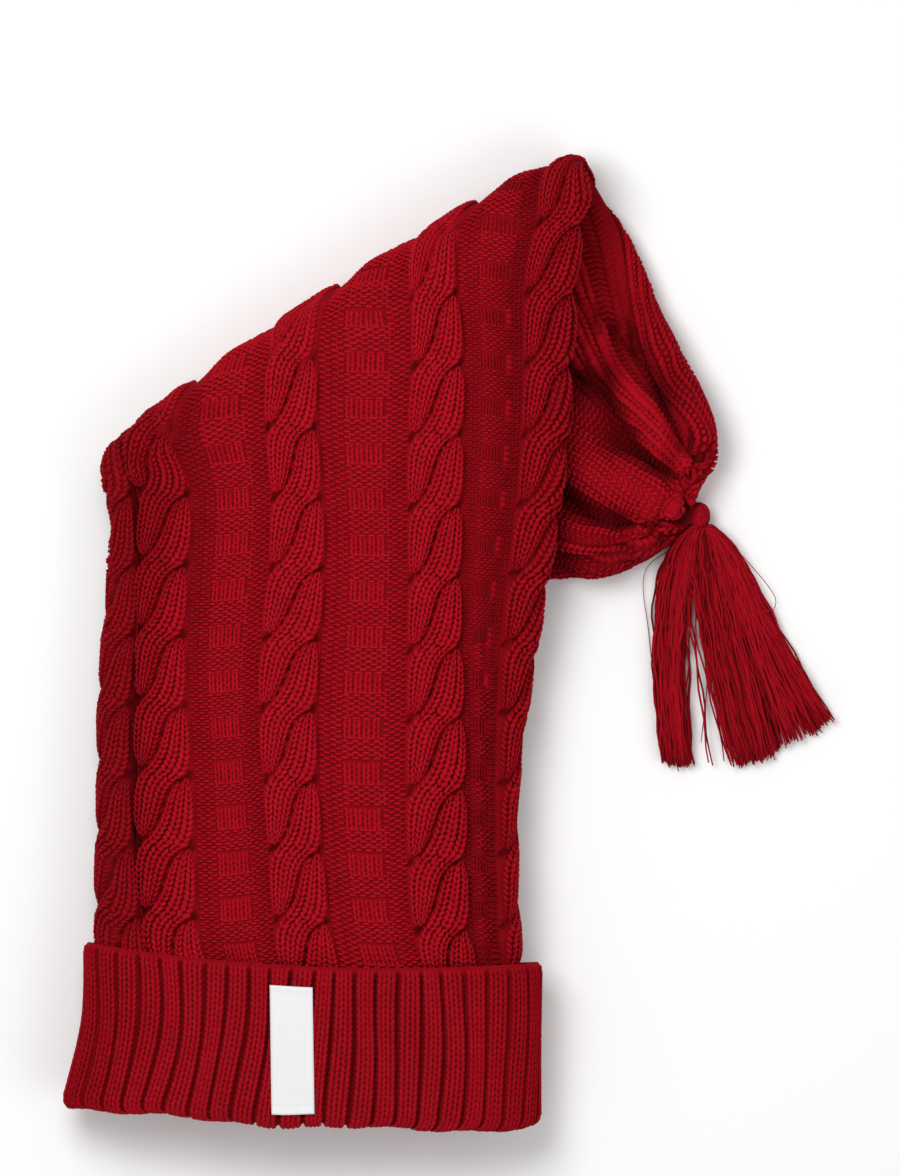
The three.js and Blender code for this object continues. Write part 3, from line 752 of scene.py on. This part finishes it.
# Tells which places carry a stitch: inside the wale's length, wide enough, and not pressed out of sight.
# Where wales are narrow two or four are taken as one, and span says how many.
def kept_places(wale, length):
    at, _, _, tail, share, _ = sample(wale, length)
    beside = sample(wale + 0.5, length)[0]
    before = sample(wale - 0.5, length)[0]
    width = np.linalg.norm(beside - before, axis=1)
    ends = np.interp(np.mod(wale, WALES), CROWN["wales"], CROWN["ends"])
    first, last, low = BODY_COVER
    covered_tail = (tail > 0) & (share > 0.5) & (at[:, 0] < body_edge(at[:, 1]) - TAIL_COVER)
    covered_body = (tail == 0) & (share > first) & (share < last) & (at[:, 1] > low)
    lost = width < LOST * STITCH
    keep = (length > HIDDEN_LENGTH) & (length < ends - END_BARE) & ~covered_tail & ~covered_body & ~lost
    span = np.select([width < CROWDED * STITCH, width < NARROW * STITCH], [4, 2], 1)
    return keep, width, span


# Drops wales where two or four are taken as one, and moves the one left to the middle of its group.
def paired(wale, keep, width, span):
    first = np.floor(stitch_of(wale) + 1).astype(int) % span == 0
    return wale + 0.5 * (span - 1), keep & first, width * span


# The body's right edge at a height of the picture.
def body_edge(y):
    rows = np.array(BODY_ROWS)
    return np.interp(y, rows[:, 5], rows[:, 4])


def shaken(values, amount):
    return values + amount * RNG.uniform(-1, 1, len(values))


def uneven_widths(count, half):
    return shaken(np.full(count, half[0]), half[1])


# The two legs of each knit stitch, on a surface given by spot(wale, length).
def knit_legs(spot, wale, length, width, shade, leg, span=1, row=ROW, skew=0):
    foot, head, reach = leg
    legs = []
    tilt = spot(wale + LEG_TILT, length) - spot(wale - LEG_TILT, length)
    scale = np.maximum(width / STITCH, LEAST_SCALE)
    for side in (-1, 1):
        middle = shaken(length, LEG_SHAKE)
        start = spot(wale + side * foot * span, middle - reach * row - side * foot * span * skew)
        end = spot(wale + side * head * span, middle + reach * row - side * head * span * skew)
        up = unit(np.cross(tilt, end - start))
        half = uneven_widths(len(wale), LEG_HALF) * scale
        legs.append(lobe_points(start, end, up, half, LEG_HIGH[0] + LEG_HIGH[1] * half))
    return np.concatenate(legs), np.tile(shade, 2)


# The bumps of each purl stitch: a head loop over the wale and a foot loop between two wales.
def purl_bumps(spot, wale, length, width, shade, high, span=1):
    bumps = []
    scale = np.maximum(width / STITCH, LEAST_SCALE)
    for aside, rise, bow in PURL_LOOPS:
        middle = shaken(length + rise * ROW, PURL_SHAKE)
        place = wale + aside * span
        start = spot(place - PURL_REACH * span, middle)
        end = spot(place + PURL_REACH * span, middle)
        forward = spot(place, middle + 0.5 * ROW) - spot(place, middle - 0.5 * ROW)
        up = unit(np.cross(end - start, forward))
        half = uneven_widths(len(wale), PURL_HALF) * np.maximum(scale, PURL_LEAST)
        bumps.append(lobe_points(start, end, up, half, np.full(len(wale), high) * scale, bow * forward))
    return np.concatenate(bumps), np.tile(shade, 2)


LAST_LENGTH = float(CROWN["ends"].max())


# Points at a height over the crown's skin, less where its relief is low.
def raised(wale, length, height, sink=0):
    at, normal, relief = sample(wale, length)[:3]
    return at + normal * (height * relief - sink)[:, None]


# The left and right side of a leaf's stitches.
def stitched_sides(rise):
    left, right = leaf_sides(rise)
    slots = (1 - smooth(*SLOT_REACH, np.abs(rise - slot)) for slot in (CROSSING, 0))
    inset_left, inset_right = (mix(LEAF_INSET[1], LEAF_INSET[0], slot) for slot in slots)
    return left + inset_left, right - inset_right


# A place on a leaf, in stitches across its cable.
def leaf_across(place, rise):
    left, right = stitched_sides(rise)
    return mix(left, right, (place + 1) / 2) / STITCH


# Places of a leaf's stitches, row by row along its wales, with their heights over the slot that the leaf
# starts from, their widths, how far each row rises and how much it slopes to lie square to the wale.
def leaf_lattice():
    rise = np.linspace(SEAM[0, 1], CROSSING + SEAM[-1, 1], LATTICE_STEPS)
    left, right = stitched_sides(rise)
    wide = np.maximum(right - left, 0) / len(LEAF_WALES)
    rows = []
    for place in LEAF_WALES:
        steps = np.hypot(np.diff(leaf_across(place, rise) * STITCH), np.diff(rise))
        run = running(steps)
        marks = np.arange(0.5 * ROW, run[-1], ROW)
        height = np.interp(marks, run, rise)
        steep = np.interp(marks, run, np.gradient(rise, run))
        width = np.interp(height, rise, wide) * steep
        slope = np.interp(height, rise, right - left) / 2 * steep * np.sqrt(np.maximum(1 - steep**2, 0))
        row = np.stack([np.full(len(marks), place), height, width, ROW * steep, slope], axis=-1)
        rows.append(row[width > LEAST_WIDTH])
    return np.concatenate(rows)


# The wales of a cable's leaves.
def leaf_stitches(cable):
    lattice = leaf_lattice()
    leaves = np.arange(-2, math.ceil(LAST_LENGTH / CROSSING))
    base = np.repeat(CABLE_SLOT[cable] + leaves * CROSSING, len(lattice))
    place, rise, width, row, skew = np.tile(lattice, (len(leaves), 1)).T
    wale = REPEAT * cable + leaf_across(place, rise)
    keep, gauge, _ = kept_places(wale, base + rise)
    keep &= ~on_tail(wale, base + rise)
    base = base[keep]

    def spot(place, rise):
        wale = REPEAT * cable + leaf_across(place, rise)
        return raised(wale, base + rise, leaf_height(place, rise), STITCH_SINK)

    width = width[keep] * np.minimum(gauge[keep] / STITCH, 1)
    place, rise = place[keep], rise[keep]
    # Painted shade: darker where a leaf's ends tuck under the next leaf, and along its outer wales.
    shade = shade_at(wale[keep], base + rise) * mix(END_SHADE, 1, leaf_lift(rise))
    shade *= mix(1, SIDE_SHADE, np.abs(place))
    return knit_legs(spot, place, rise, width, shade, CABLE_LEG, 2 / len(LEAF_WALES), row[keep], skew[keep])


# The stitches of a cable along the tail.
def ridge_stitches(cable):
    def spot(stitch, length):
        return raised(REPEAT * cable + stitch, length, ridge_height(stitch), STITCH_SINK)

    column, length = knit_places(np.arange(RIDGE_WALES), HIDDEN_LENGTH, LAST_LENGTH)
    middle = (RIDGE_WALES - 1) / 2
    keep, width, span = kept_places(REPEAT * cable + RIDGE_COLUMN * (column - middle), length)
    span = np.minimum(span, RIDGE_SPAN)
    stitch = RIDGE_COLUMN * (column - middle + 0.5 * (span - 1))
    keep &= on_tail(REPEAT * cable + stitch, length) & (column % span == 0)
    stitch, length, wide = stitch[keep], length[keep], RIDGE_COLUMN * span[keep]
    shade = shade_at(REPEAT * cable + stitch, length)
    return knit_legs(spot, stitch, length, wide * width[keep], shade, TAIL_LEG, wide)


def crown_cables(name, cables, material):
    groups = [stitches(cable) for cable in cables for stitches in (leaf_stitches, ridge_stitches)]
    return lobe_object(name, groups, material)


def strip_spot(wale, length):
    return raised(wale, length, ladder_height(stitch_of(wale), length))


def bar_spot(wale, length):
    at, normal = sample(wale, length)[:2]
    return at + normal * BAR_RISE


# Wales and lengths of the stitches in the same columns of every repeat, with their widths and spans.
def strip_places(columns, wanted):
    wales = [REPEAT * k + column for k in range(len(CABLES)) for column in columns]
    wale, length = knit_places(wales, HIDDEN_LENGTH, LAST_LENGTH)
    keep, width, span = kept_places(wale, length)
    keep &= wanted(wale, length, span)
    wale, keep, width = paired(wale, keep, width, span)
    return np.stack([wale, length, width, span])[:, keep]


def crown_ladders(material):
    wale, length, width, span = strip_places(BAR_WALES, lambda wale, length, span: has_bar(wale, length))
    # Painted shade: the bars, sunk below the purl, are darker.
    shade = BAR_SHADE * shade_at(wale, length)
    bars = knit_legs(bar_spot, wale, length, BAR_WIDTH * width, shade, BAR_LEG, BAR_WIDTH * span)
    places = strip_places(BLOCK_WALES, lambda wale, length, span: ~has_bar(wale, length, BAR_COVER))
    past_fold = on_tail(*places[:2])
    wale, length, width, span = places[:, ~past_fold]
    blocks = purl_bumps(strip_spot, wale, length, width, shade_at(wale, length), BLOCK_HIGH, span)
    wale, length, width, span = places[:, past_fold]
    tail = knit_legs(strip_spot, wale, length, width, shade_at(wale, length), TAIL_LEG, span)
    return lobe_object("crown_ladders", [bars, blocks, tail], material)


# The strips after the first cable, in the groove along the left side, have no stitches where they are narrow.
def crown_purl(material):
    wale, length, width, span = strip_places(
        PURL_WALES, lambda wale, length, span: (repeat_of(wale) > 0) | (span == 1))
    # Painted shade: the purl strips, which lie low beside the cables, are darker.
    shade = PURL_SHADE * shade_at(wale, length)
    bumps = purl_bumps(strip_spot, wale, length, width, shade, PURL_HIGH, span)
    return lobe_object("crown_purl", [bumps], material)


# The knitted ground of the crown: a closed wall whose outer skin follows the pattern.
def crown_ground(material):
    keys = ("at", "normal", "length", "relief")
    at, normal, length, relief = (CROWN[key][:, ::GROUND_STEP] for key in keys)
    wales = np.broadcast_to(CROWN["wales"][::GROUND_STEP], length.shape)
    fold, tail = (np.array([[place[k]] for place in CROWN["places"]]) for k in (2, 3))
    height = pattern_height(wales, length, fold, tail) * relief - GROUND_SINK
    outer = at + normal * height[..., None]
    outer[..., 2] = np.maximum(outer[..., 2], 0.5 * REST_HEIGHT)
    inner = []
    for j, (section, body, _, end) in enumerate(CROWN["places"]):
        if j % GROUND_STEP or end > HOLLOW_END:
            continue
        whole = oval(section)
        ring = on_oval(oval(section, WALL), wale_shares(wales[0], body, whole["length"]))
        ring[:, 2] = np.maximum(ring[:, 2], WALL)
        inner.append(ring)
    inner = np.array(inner)
    count = at.shape[1]
    inner_tip = mix(inner[-1].mean(axis=0), TIP, INNER_TIP)
    vertices = np.concatenate([outer.reshape(-1, 3), TIP[None], inner.reshape(-1, 3), inner_tip[None]])
    outer_end = len(at) * count
    inner_start = outer_end + 1
    last_inner = inner_start + (len(inner) - 1) * count
    i = np.arange(count)
    k = (i + 1) % count
    rim = np.stack([k, i, inner_start + i, inner_start + k], axis=-1)
    fans = [fan(outer_end - count, count, outer_end), fan(last_inner, count, len(vertices) - 1, True)]
    quads = [ring_quads(len(at), count), ring_quads(len(inner), count, inner_start, True), rim]
    # Painted shade: the ground shows only in gaps, so it is dark; black in the groove along the left side,
    # and in the cables darkest in the low slots.
    shade = np.full(len(vertices), INSIDE_SHADE)
    stitch = stitch_of(wales)
    tucked = (repeat_of(wales) == 0) & (stitch > CABLE_HALF) & (stitch < REPEAT - CABLE_HALF)
    cable = np.minimum(np.abs(stitch), np.abs(stitch - REPEAT)) < CABLE_EDGE
    slot_shade = LEAF_SHADE * smooth(*LEAF_GROUND, height) * shade_at(wales, length)
    shade[:outer_end] = np.select([tucked, cable], [0.0, slot_shade], GROUND_SHADE).ravel()
    return make_object("crown_ground", vertices, [np.concatenate(quads), *fans],
                       {"shade": shade, "tint": np.full(len(vertices), 0.5)}, material)


# A ring of the cuff at a level and a depth below its face, sagging between its sides.
def cuff_ring(level, inset, dip):
    ring = oval(section_at(CUFF_ROWS, level * (len(CUFF_ROWS) - 1), (0, 0, 1)), inset)
    uneven = waves(EDGE_WAVES, 2 * math.pi * ring["share"], 0)
    sag = mix(CUFF_DIP[0], CUFF_DIP[1], level**3) * (1 - ring["across"] ** 2)
    ring["at"][:, 1] -= dip * (sag + uneven * level**3)
    return ring


# The ribs wander: how far a place is pulled along the way round.
def rib_pull(share, level):
    return waves(RIB_WAVES, 2 * math.pi * share, level)


def rib_groove(share, level):
    aside = np.abs(np.mod((share + rib_pull(share, level)) * RIBS + 0.5, 1) - 0.5) * 2
    deep = np.interp(np.mod(share, 1), GROOVE_SHARES, GROOVE_DEPTHS)
    back, sides, start = RIB_FORM
    return deep * (back * aside**2 + sides * smooth(start, 1, aside))


def cuff_profile():
    count = len(CUFF_PROFILE)
    rows = []
    for i in range(count):
        first, second = np.array(CUFF_PROFILE[i]), np.array(CUFF_PROFILE[(i + 1) % count])
        rows += [mix(first, second, step / PROFILE_STEPS) for step in range(PROFILE_STEPS)]
    return np.array(rows)


def cuff_rings(profile, share):
    return np.array([on_oval(cuff_ring(level, inset, dip), share) for level, inset, _, dip in profile])


# The cuff's ground: one knitted wall folded up on itself, with deep narrow grooves between its ribs.
def cuff_ground(material):
    count = RIBS * RIB_COLUMNS
    share = np.arange(count) / count
    profile = cuff_profile()
    rings = cuff_rings(profile, share)
    outward = unit(np.cross(np.roll(rings, -1, 1) - np.roll(rings, 1, 1), np.array((0, 1.0, 0))))
    level = profile[:, 0:1]
    groove = rib_groove(share[None], level)
    depth = profile[:, 2:3] * (RIB_DEPTH * groove + CUFF_SINK)
    vertices = rings - outward * depth[..., None]
    vertices[..., 1] += NOTCH * smooth(NOTCH_START, 1, level) * groove
    vertices[..., 2] = np.maximum(vertices[..., 2], CUFF_LOW)
    total = len(profile) * count
    quads = np.mod(ring_quads(len(profile) + 1, count), total)
    # Painted shade: the ground is dark, and darker in the grooves between the ribs.
    whole, grooved, inside = CUFF_SHADE
    ribbed = profile[:, 2:3]
    shade = np.clip(whole - grooved * groove * ribbed + inside * (ribbed == 0), 0, 1)
    return make_object("cuff_ground", vertices.reshape(-1, 3), [quads[:, ::-1]],
                       {"shade": shade.ravel(), "tint": np.full(total, 0.5)}, material)


# The outer face of the cuff by share of the way round and length below its edge, as a chart.
def cuff_chart():
    share = np.arange(RIBS * RIB_COLUMNS) / (RIBS * RIB_COLUMNS)
    profile = cuff_profile()[:FACE_ROWS * PROFILE_STEPS]
    at = cuff_rings(profile, share)
    steps = np.linalg.norm(np.diff(at, axis=0), axis=2).mean(axis=1)
    length = running(steps)
    return {"at": at, "length": length, "rib": profile[:, 2], "level": profile[:, 0]}


CUFF = cuff_chart()


def cuff_spot(share, length):
    at, marks = CUFF["at"], CUFF["length"]
    row = np.interp(length, marks, np.arange(len(marks)))
    point = bilinear(at, row, np.mod(share, 1) * at.shape[1])
    return point, np.interp(length, marks, CUFF["rib"]), np.interp(length, marks, CUFF["level"])


def cuff_ribs(material):
    rows = np.arange(RIB_ENDS[0], CUFF["length"][-1] - RIB_ENDS[1], CUFF_ROW)
    groups = []
    for index, place in enumerate(LEG_PLACES):
        rib, length = (grid.ravel() for grid in np.meshgrid(np.arange(RIBS), rows, indexing="ij"))
        lean = RIB_LEAN if index % 2 else -RIB_LEAN
        middle = shaken(length, RIB_SHAKE)

        def spot(aside, down):
            even = (rib + aside) / RIBS
            share = even - rib_pull(even, np.interp(down, CUFF["length"], CUFF["level"]))
            at, rib_share, level = cuff_spot(share, down)
            beside = cuff_spot(share + RIB_PROBE[0], down)[0] - cuff_spot(share - RIB_PROBE[0], down)[0]
            below = cuff_spot(share, down + RIB_PROBE[1])[0] - cuff_spot(share, down - RIB_PROBE[1])[0]
            normal = unit(np.cross(below, beside))
            return at - normal * (rib_share * RIB_DEPTH * rib_groove(share, level))[:, None], normal

        start, normal = spot(place + lean, middle - RIB_REACH * CUFF_ROW)
        end, _ = spot(place - lean, middle + RIB_REACH * CUFF_ROW)
        half = uneven_widths(len(rib), RIB_HALF)
        points = lobe_points(start, end, normal, half, RIB_HIGH[0] + RIB_HIGH[1] * half)
        # Painted shade along the cuff's sides.
        groups.append((points, side_shade((rib + place) / RIBS)))
    return lobe_object("cuff_ribs", groups, material)


# The label: a thin woven plate that follows the cuff, with its ends turned under.
def label_cloth(material):
    columns = LABEL_CELLS[0] + 1
    rows = LABEL_CELLS[1] + 1
    layers = []
    for lift in (LABEL_LIFT, LABEL_LIFT + LABEL_THICKNESS):
        grid = []
        for j in range(rows):
            down = j / LABEL_CELLS[1]
            ring = cuff_ring(mix(LABEL_LEVEL[0], LABEL_LEVEL[1], down), -lift, 1)
            front = slice(0, OVAL_SAMPLES // 2)
            middle = np.interp(mix(LABEL_X[0], LABEL_X[1], down), ring["at"][front, 0], ring["share"][front])
            aside = (np.arange(columns) / LABEL_CELLS[0] - 0.5) * LABEL_WIDTH / ring["length"]
            points = on_oval(ring, middle + aside)
            turned = smooth(*LABEL_TURN, min(down, 1 - down) * LABEL_LENGTH)
            edge = 1 - np.abs(np.arange(columns) / LABEL_CELLS[0] - 0.5) * 2
            dent = LABEL_DENT * rib_groove(middle + aside, 0.5)
            points[:, 2] += LABEL_RISE * turned - dent - LABEL_EDGE[1] * smooth(LABEL_EDGE[0], 0, edge)
            grid.append(points)
        layers.append(np.array(grid))
    size = rows * columns
    vertices = np.concatenate([layer.reshape(-1, 3) for layer in layers])
    j, i = np.meshgrid(np.arange(rows - 1), np.arange(columns - 1), indexing="ij")
    a = (j * columns + i).ravel()
    under = np.stack([a, a + 1, a + columns + 1, a + columns], axis=-1)
    over = size + under[:, ::-1]
    index = np.arange(size).reshape(rows, columns)
    rim = np.concatenate([index[0, :-1], index[:-1, -1], index[-1, :0:-1], index[:0:-1, 0]])
    after = np.roll(rim, -1)
    sides = np.stack([after, rim, size + rim, size + after], axis=-1)
    return make_object("label_cloth", vertices, [np.concatenate([under, over, sides])], {}, material)


# Tubes along paths, closed at both ends with a point.
def tube_object(name, paths, radius, sides, material):
    count, steps, _ = paths.shape
    way = unit(np.gradient(paths, axis=1))
    side = unit(np.cross(way, np.array((0, 0, 1.0))))
    up = np.cross(side, way)
    turn = np.arange(sides) * 2 * math.pi / sides
    ring = side[:, :, None] * np.cos(turn)[:, None] + up[:, :, None] * np.sin(turn)[:, None]
    points = paths[:, :, None] + ring * radius[:, :, None, None]
    points[..., 2] = np.maximum(points[..., 2], FLOOR_GAP)
    ends = np.stack([paths[:, 0], paths[:, -1]], axis=1)
    vertices = np.concatenate([points.reshape(count, -1, 3), ends], axis=1)
    size = steps * sides + 2
    quads = ring_quads(steps, sides)
    caps = np.concatenate([fan(0, sides, size - 2, True), fan((steps - 1) * sides, sides, size - 1)])
    shift = size * np.arange(count)[:, None, None]
    faces = [(quads[None] + shift).reshape(-1, 4), (caps[None] + shift).reshape(-1, 3)]
    tint = np.repeat(RNG.random(count), size)
    shade = np.repeat(RNG.uniform(*THREAD_SHADES, count), size)
    return make_object(name, vertices.reshape(-1, 3), faces, {"shade": shade, "tint": tint}, material)


# Clumps of curves that follow the guides, in layers, with uneven ends, and a few strays.
def tassel_threads(material):
    counts = [round(share * CLUMPS) for share, _, _ in BUNDLES]
    clump = np.concatenate([RNG.uniform(low, high, count) for count, (_, low, high) in zip(counts, BUNDLES)])
    size = (len(clump), 2)
    pull = np.repeat(RNG.normal(0, CLUMP_PULL, size), CLUMP_THREADS, axis=0)
    wander = np.repeat(RNG.normal(0, CLUMP_WANDER, size), CLUMP_THREADS, axis=0)
    layer = np.repeat(RNG.random(len(clump)), CLUMP_THREADS) + RNG.normal(0, LAYER_SPREAD, len(pull))
    layer = np.clip(layer, 0, 1)
    loose = np.repeat(np.where((clump > 1) & (clump < 2), *CLUMP_LOOSE), CLUMP_THREADS)
    place = np.clip(np.repeat(clump, CLUMP_THREADS) + loose * RNG.normal(0, 1, len(pull)), 0, len(GUIDES) - 1)
    count = len(place)
    guide = np.stack([np.interp(place, np.arange(len(GUIDES)), column) for column in GUIDES.T], axis=-1)
    side = place / (len(GUIDES) - 1) - 0.5
    start = HEAD[:2] + np.stack([HEAD_SPREAD[0] * side, np.zeros(count)], axis=-1)
    start += RNG.normal(0, HEAD_SPREAD[1], (count, 2))
    tuck = layer[:, None] * np.stack([SHOULDER_TUCK[0] * side, np.full(count, SHOULDER_TUCK[1])], axis=-1)
    shoulder = guide[:, 0:2] + RNG.normal(0, THREAD_SPREAD, (count, 2)) - tuck
    bow = guide[:, 2:4] + pull + RNG.normal(0, THREAD_SPREAD, (count, 2))
    end = guide[:, 4:6] + wander + RNG.normal(0, THREAD_SPREAD, (count, 2))
    t = np.linspace(0, 1, THREAD_STEPS)[None, :, None]
    flat = ((1 - t) ** 3 * start[:, None] + 3 * t * (1 - t) ** 2 * shoulder[:, None]
            + 3 * t**2 * (1 - t) * bow[:, None] + t**3 * end[:, None])
    way = t[..., 0]
    phase = RNG.uniform(0, 2 * math.pi, (count, 2))
    wave = sum(reach * np.sin(2 * math.pi * bends * way + phase[:, k:k + 1])
               for k, (reach, bends) in enumerate(THREAD_WAVES))
    flat[..., 0] += wave * smooth(*WAVE_START, way)
    head, foot = (low + rise * layer[:, None] for low, rise in (HEAD_HEIGHT, FOOT_HEIGHT))
    height = mix(head, foot, smooth(0, FALL_END, way))
    paths = np.concatenate([flat, height[..., None]], axis=2)
    strays = np.array([[along(stray, (len(stray) - 1) * step) for step in way[0]] for stray in STRAYS])
    radius = THREAD_RADIUS * RNG.uniform(*THREAD_WIDTHS, (count, 1))
    radius = np.concatenate([radius, np.full((len(STRAYS), 1), STRAY_RADIUS)])
    radius = radius * (1 - THREAD_TAPER[0] * smooth(THREAD_TAPER[1], 1, way))
    return tube_object("tassel_threads", np.concatenate([paths, strays]), radius, THREAD_SIDES, material)


# A wound ball of thread at the neck.
def tassel_knot(material):
    axis = unit(RNG.normal(0, 1, (KNOT_ROUNDS, 1, 3)))
    side = unit(np.cross(axis, KNOT_ACROSS))
    other = np.cross(axis, side)
    turn = np.linspace(0, 2 * math.pi, KNOT_STEPS)[None, :, None]
    loop = np.cos(turn) * side + np.sin(turn) * other
    paths = KNOT + loop * KNOT_RADII * RNG.uniform(*KNOT_WINDING, (KNOT_ROUNDS, 1, 1))
    radius = np.full((KNOT_ROUNDS, KNOT_STEPS), KNOT_THREAD)
    return tube_object("tassel_knot", paths, radius, KNOT_SIDES, material)


# Materials
def set_inputs(node, **inputs):
    for key, value in inputs.items():
        node.inputs[key.replace("_", " ")].default_value = value
    return node


def node_of(tree, kind, **inputs):
    return set_inputs(tree.nodes.new(kind), **inputs)


def fresh_material(name):
    material = bpy.data.materials.new(name)
    material.use_nodes = True
    tree = material.node_tree
    return material, tree, tree.nodes["Principled BSDF"]


def attribute(tree, name):
    node = tree.nodes.new("ShaderNodeAttribute")
    node.attribute_name = name
    return node.outputs["Fac"]


def ramp_of(tree, factor, stops):
    ramp = tree.nodes.new("ShaderNodeValToRGB")
    elements = ramp.color_ramp.elements
    while len(elements) < len(stops):
        elements.new(0.5)
    for element, (place, colour) in zip(elements, stops):
        element.position = place
        element.color = (*colour, 1)
    tree.links.new(factor, ramp.inputs["Fac"])
    return ramp.outputs["Color"]


def math_of(tree, operation, first, second):
    node = tree.nodes.new("ShaderNodeMath")
    node.operation = operation
    tree.links.new(first, node.inputs[0])
    tree.links.new(second, node.inputs[1])
    return node.outputs[0]


def range_of(tree, value, **limits):
    node = node_of(tree, "ShaderNodeMapRange", **limits)
    tree.links.new(value, node.inputs["Value"])
    return node.outputs["Result"]


# A texture over the object's own coordinates.
def texture_of(tree, kind, **inputs):
    node = node_of(tree, kind, **inputs)
    tree.links.new(tree.nodes.new("ShaderNodeTexCoord").outputs["Object"], node.inputs["Vector"])
    return node


def add_bump(tree, shader, height, strength, distance):
    bump = node_of(tree, "ShaderNodeBump", Strength=strength, Distance=distance)
    tree.links.new(height, bump.inputs["Height"])
    tree.links.new(bump.outputs["Normal"], shader.inputs["Normal"])


# Dyed yarn with painted shade, which makes it darker towards its base and in hollows; uneven from stitch to
# stitch, with fine fibres.
def yarn(name, fibre_scale, sheen, gain):
    material, tree, shader = fresh_material(name)
    links = tree.links
    middle, light = (tuple(gain * part for part in colour) for colour in (MIDDLE, LIGHT))
    # painted shade: the ramp turns the shade attribute into darker and lighter red
    colour = ramp_of(tree, attribute(tree, "shade"), ((0, DEEP), (0.5, middle), (1, light)))
    noise = "ShaderNodeTexNoise"
    patches = texture_of(tree, noise, Scale=45.0, Detail=2.0).outputs["Fac"]
    fibres = texture_of(tree, noise, Scale=fibre_scale, Detail=4.0, Roughness=0.7).outputs["Fac"]
    uneven = math_of(tree, "ADD", math_of(tree, "ADD", patches, fibres), attribute(tree, "tint"))
    shift = tree.nodes.new("ShaderNodeHueSaturation")
    links.new(colour, shift.inputs["Color"])
    links.new(range_of(tree, uneven, From_Max=3.0, To_Min=0.76, To_Max=1.24), shift.inputs["Value"])
    links.new(shift.outputs["Color"], shader.inputs["Base Color"])
    links.new(range_of(tree, fibres, To_Min=0.7, To_Max=0.95), shader.inputs["Roughness"])
    add_bump(tree, shader, fibres, strength=0.5, distance=0.0004)
    set_inputs(shader, Specular_IOR_Level=0.04, Sheen_Weight=sheen, Sheen_Roughness=0.5, Sheen_Tint=SHEEN)
    return material


# A smooth ribbon weave, a little uneven and grey-white.
def ribbon(name):
    material, tree, shader = fresh_material(name)
    threads = []
    for direction in ("X", "Y"):
        wave = texture_of(tree, "ShaderNodeTexWave", Scale=420.0, Distortion=0.6, Detail=1.0)
        wave.bands_direction = direction
        threads.append(wave.outputs["Fac"])
    weave = math_of(tree, "MULTIPLY", *threads)
    colour = ramp_of(tree, weave, ((0, RIBBON[0]), (1, RIBBON[1])))
    tree.links.new(colour, shader.inputs["Base Color"])
    add_bump(tree, shader, weave, strength=0.4, distance=0.0002)
    set_inputs(shader, Roughness=0.55)
    return material


def plain_floor(name):
    material, tree, shader = fresh_material(name)
    noise = node_of(tree, "ShaderNodeTexNoise", Scale=3.0)
    colour = ramp_of(tree, noise.outputs["Fac"], ((0, FLOOR[0]), (1, FLOOR[1])))
    tree.links.new(colour, shader.inputs["Base Color"])
    set_inputs(shader, Roughness=0.9, Specular_IOR_Level=0.1)
    return material


# Camera, light and floor
def add_camera():
    centre_x = (IMAGE_WIDTH / 2 - ORIGIN_PIXEL[0]) * MM_PER_PIXEL
    centre_y = (ORIGIN_PIXEL[1] - IMAGE_HEIGHT / 2) * MM_PER_PIXEL
    data = bpy.data.cameras.new("camera")
    data.sensor_width = SENSOR
    data.lens = SENSOR * (CAMERA_HEIGHT - CAMERA_PLANE) / (IMAGE_HEIGHT * MM_PER_PIXEL)
    data.clip_end = CAMERA_REACH
    camera = add_object("camera", data)
    camera.location = Vector((centre_x, centre_y, CAMERA_HEIGHT)) * MM
    bpy.context.scene.camera = camera


def add_area_light(name, place, target, size, power):
    data = bpy.data.lights.new(name, "AREA")
    data.size = size
    data.energy = power
    light = add_object(name, data)
    light.location = place
    light.rotation_euler = (Vector(target) - Vector(place)).to_track_quat("-Z", "Y").to_euler()


def add_floor():
    points = [(FLOOR_HALF * x, FLOOR_HALF * y, 0) for x, y in ((-1, -1), (1, -1), (1, 1), (-1, 1))]
    mesh = bpy.data.meshes.new("floor")
    mesh.from_pydata(points, [], [(0, 1, 2, 3)])
    mesh.materials.append(plain_floor("floor"))
    add_object("floor", mesh)


def add_world():
    world = bpy.data.worlds.new("studio")
    world.use_nodes = True
    set_inputs(world.node_tree.nodes["Background"], Color=(1, 1, 1, 1), Strength=WORLD_STRENGTH)
    bpy.context.scene.world = world


def settle(piece, slot, *nodes):
    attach(piece, "root")
    if nodes:
        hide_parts(*nodes)


bpy.context.scene.view_settings.view_transform = "Standard"
add_camera()
add_world()
for light in LIGHTS:
    add_area_light(*light)
add_floor()

crown_yarn, cuff_yarn, tassel_yarn = (yarn(*row) for row in YARNS)

settle(crown_ground(crown_yarn), "crown_knit", "crown")
settle(crown_cables("crown_cables_left", (0, 1, 2), crown_yarn), "crown_knit")
settle(crown_cables("crown_cables_right", (3, 4, 5, 6), crown_yarn), "crown_knit")
settle(crown_ladders(crown_yarn), "crown_knit")
settle(crown_purl(crown_yarn), "crown_knit")
settle(cuff_ground(cuff_yarn), "cuff_rib", "cuff")
settle(cuff_ribs(cuff_yarn), "cuff_rib")
label = label_cloth(ribbon("label_ribbon"))
settle(label, "label_weave", "label")
settle(tassel_threads(tassel_yarn), "tassel_thread", "tassel")
settle(tassel_knot(tassel_yarn), "tassel_thread")
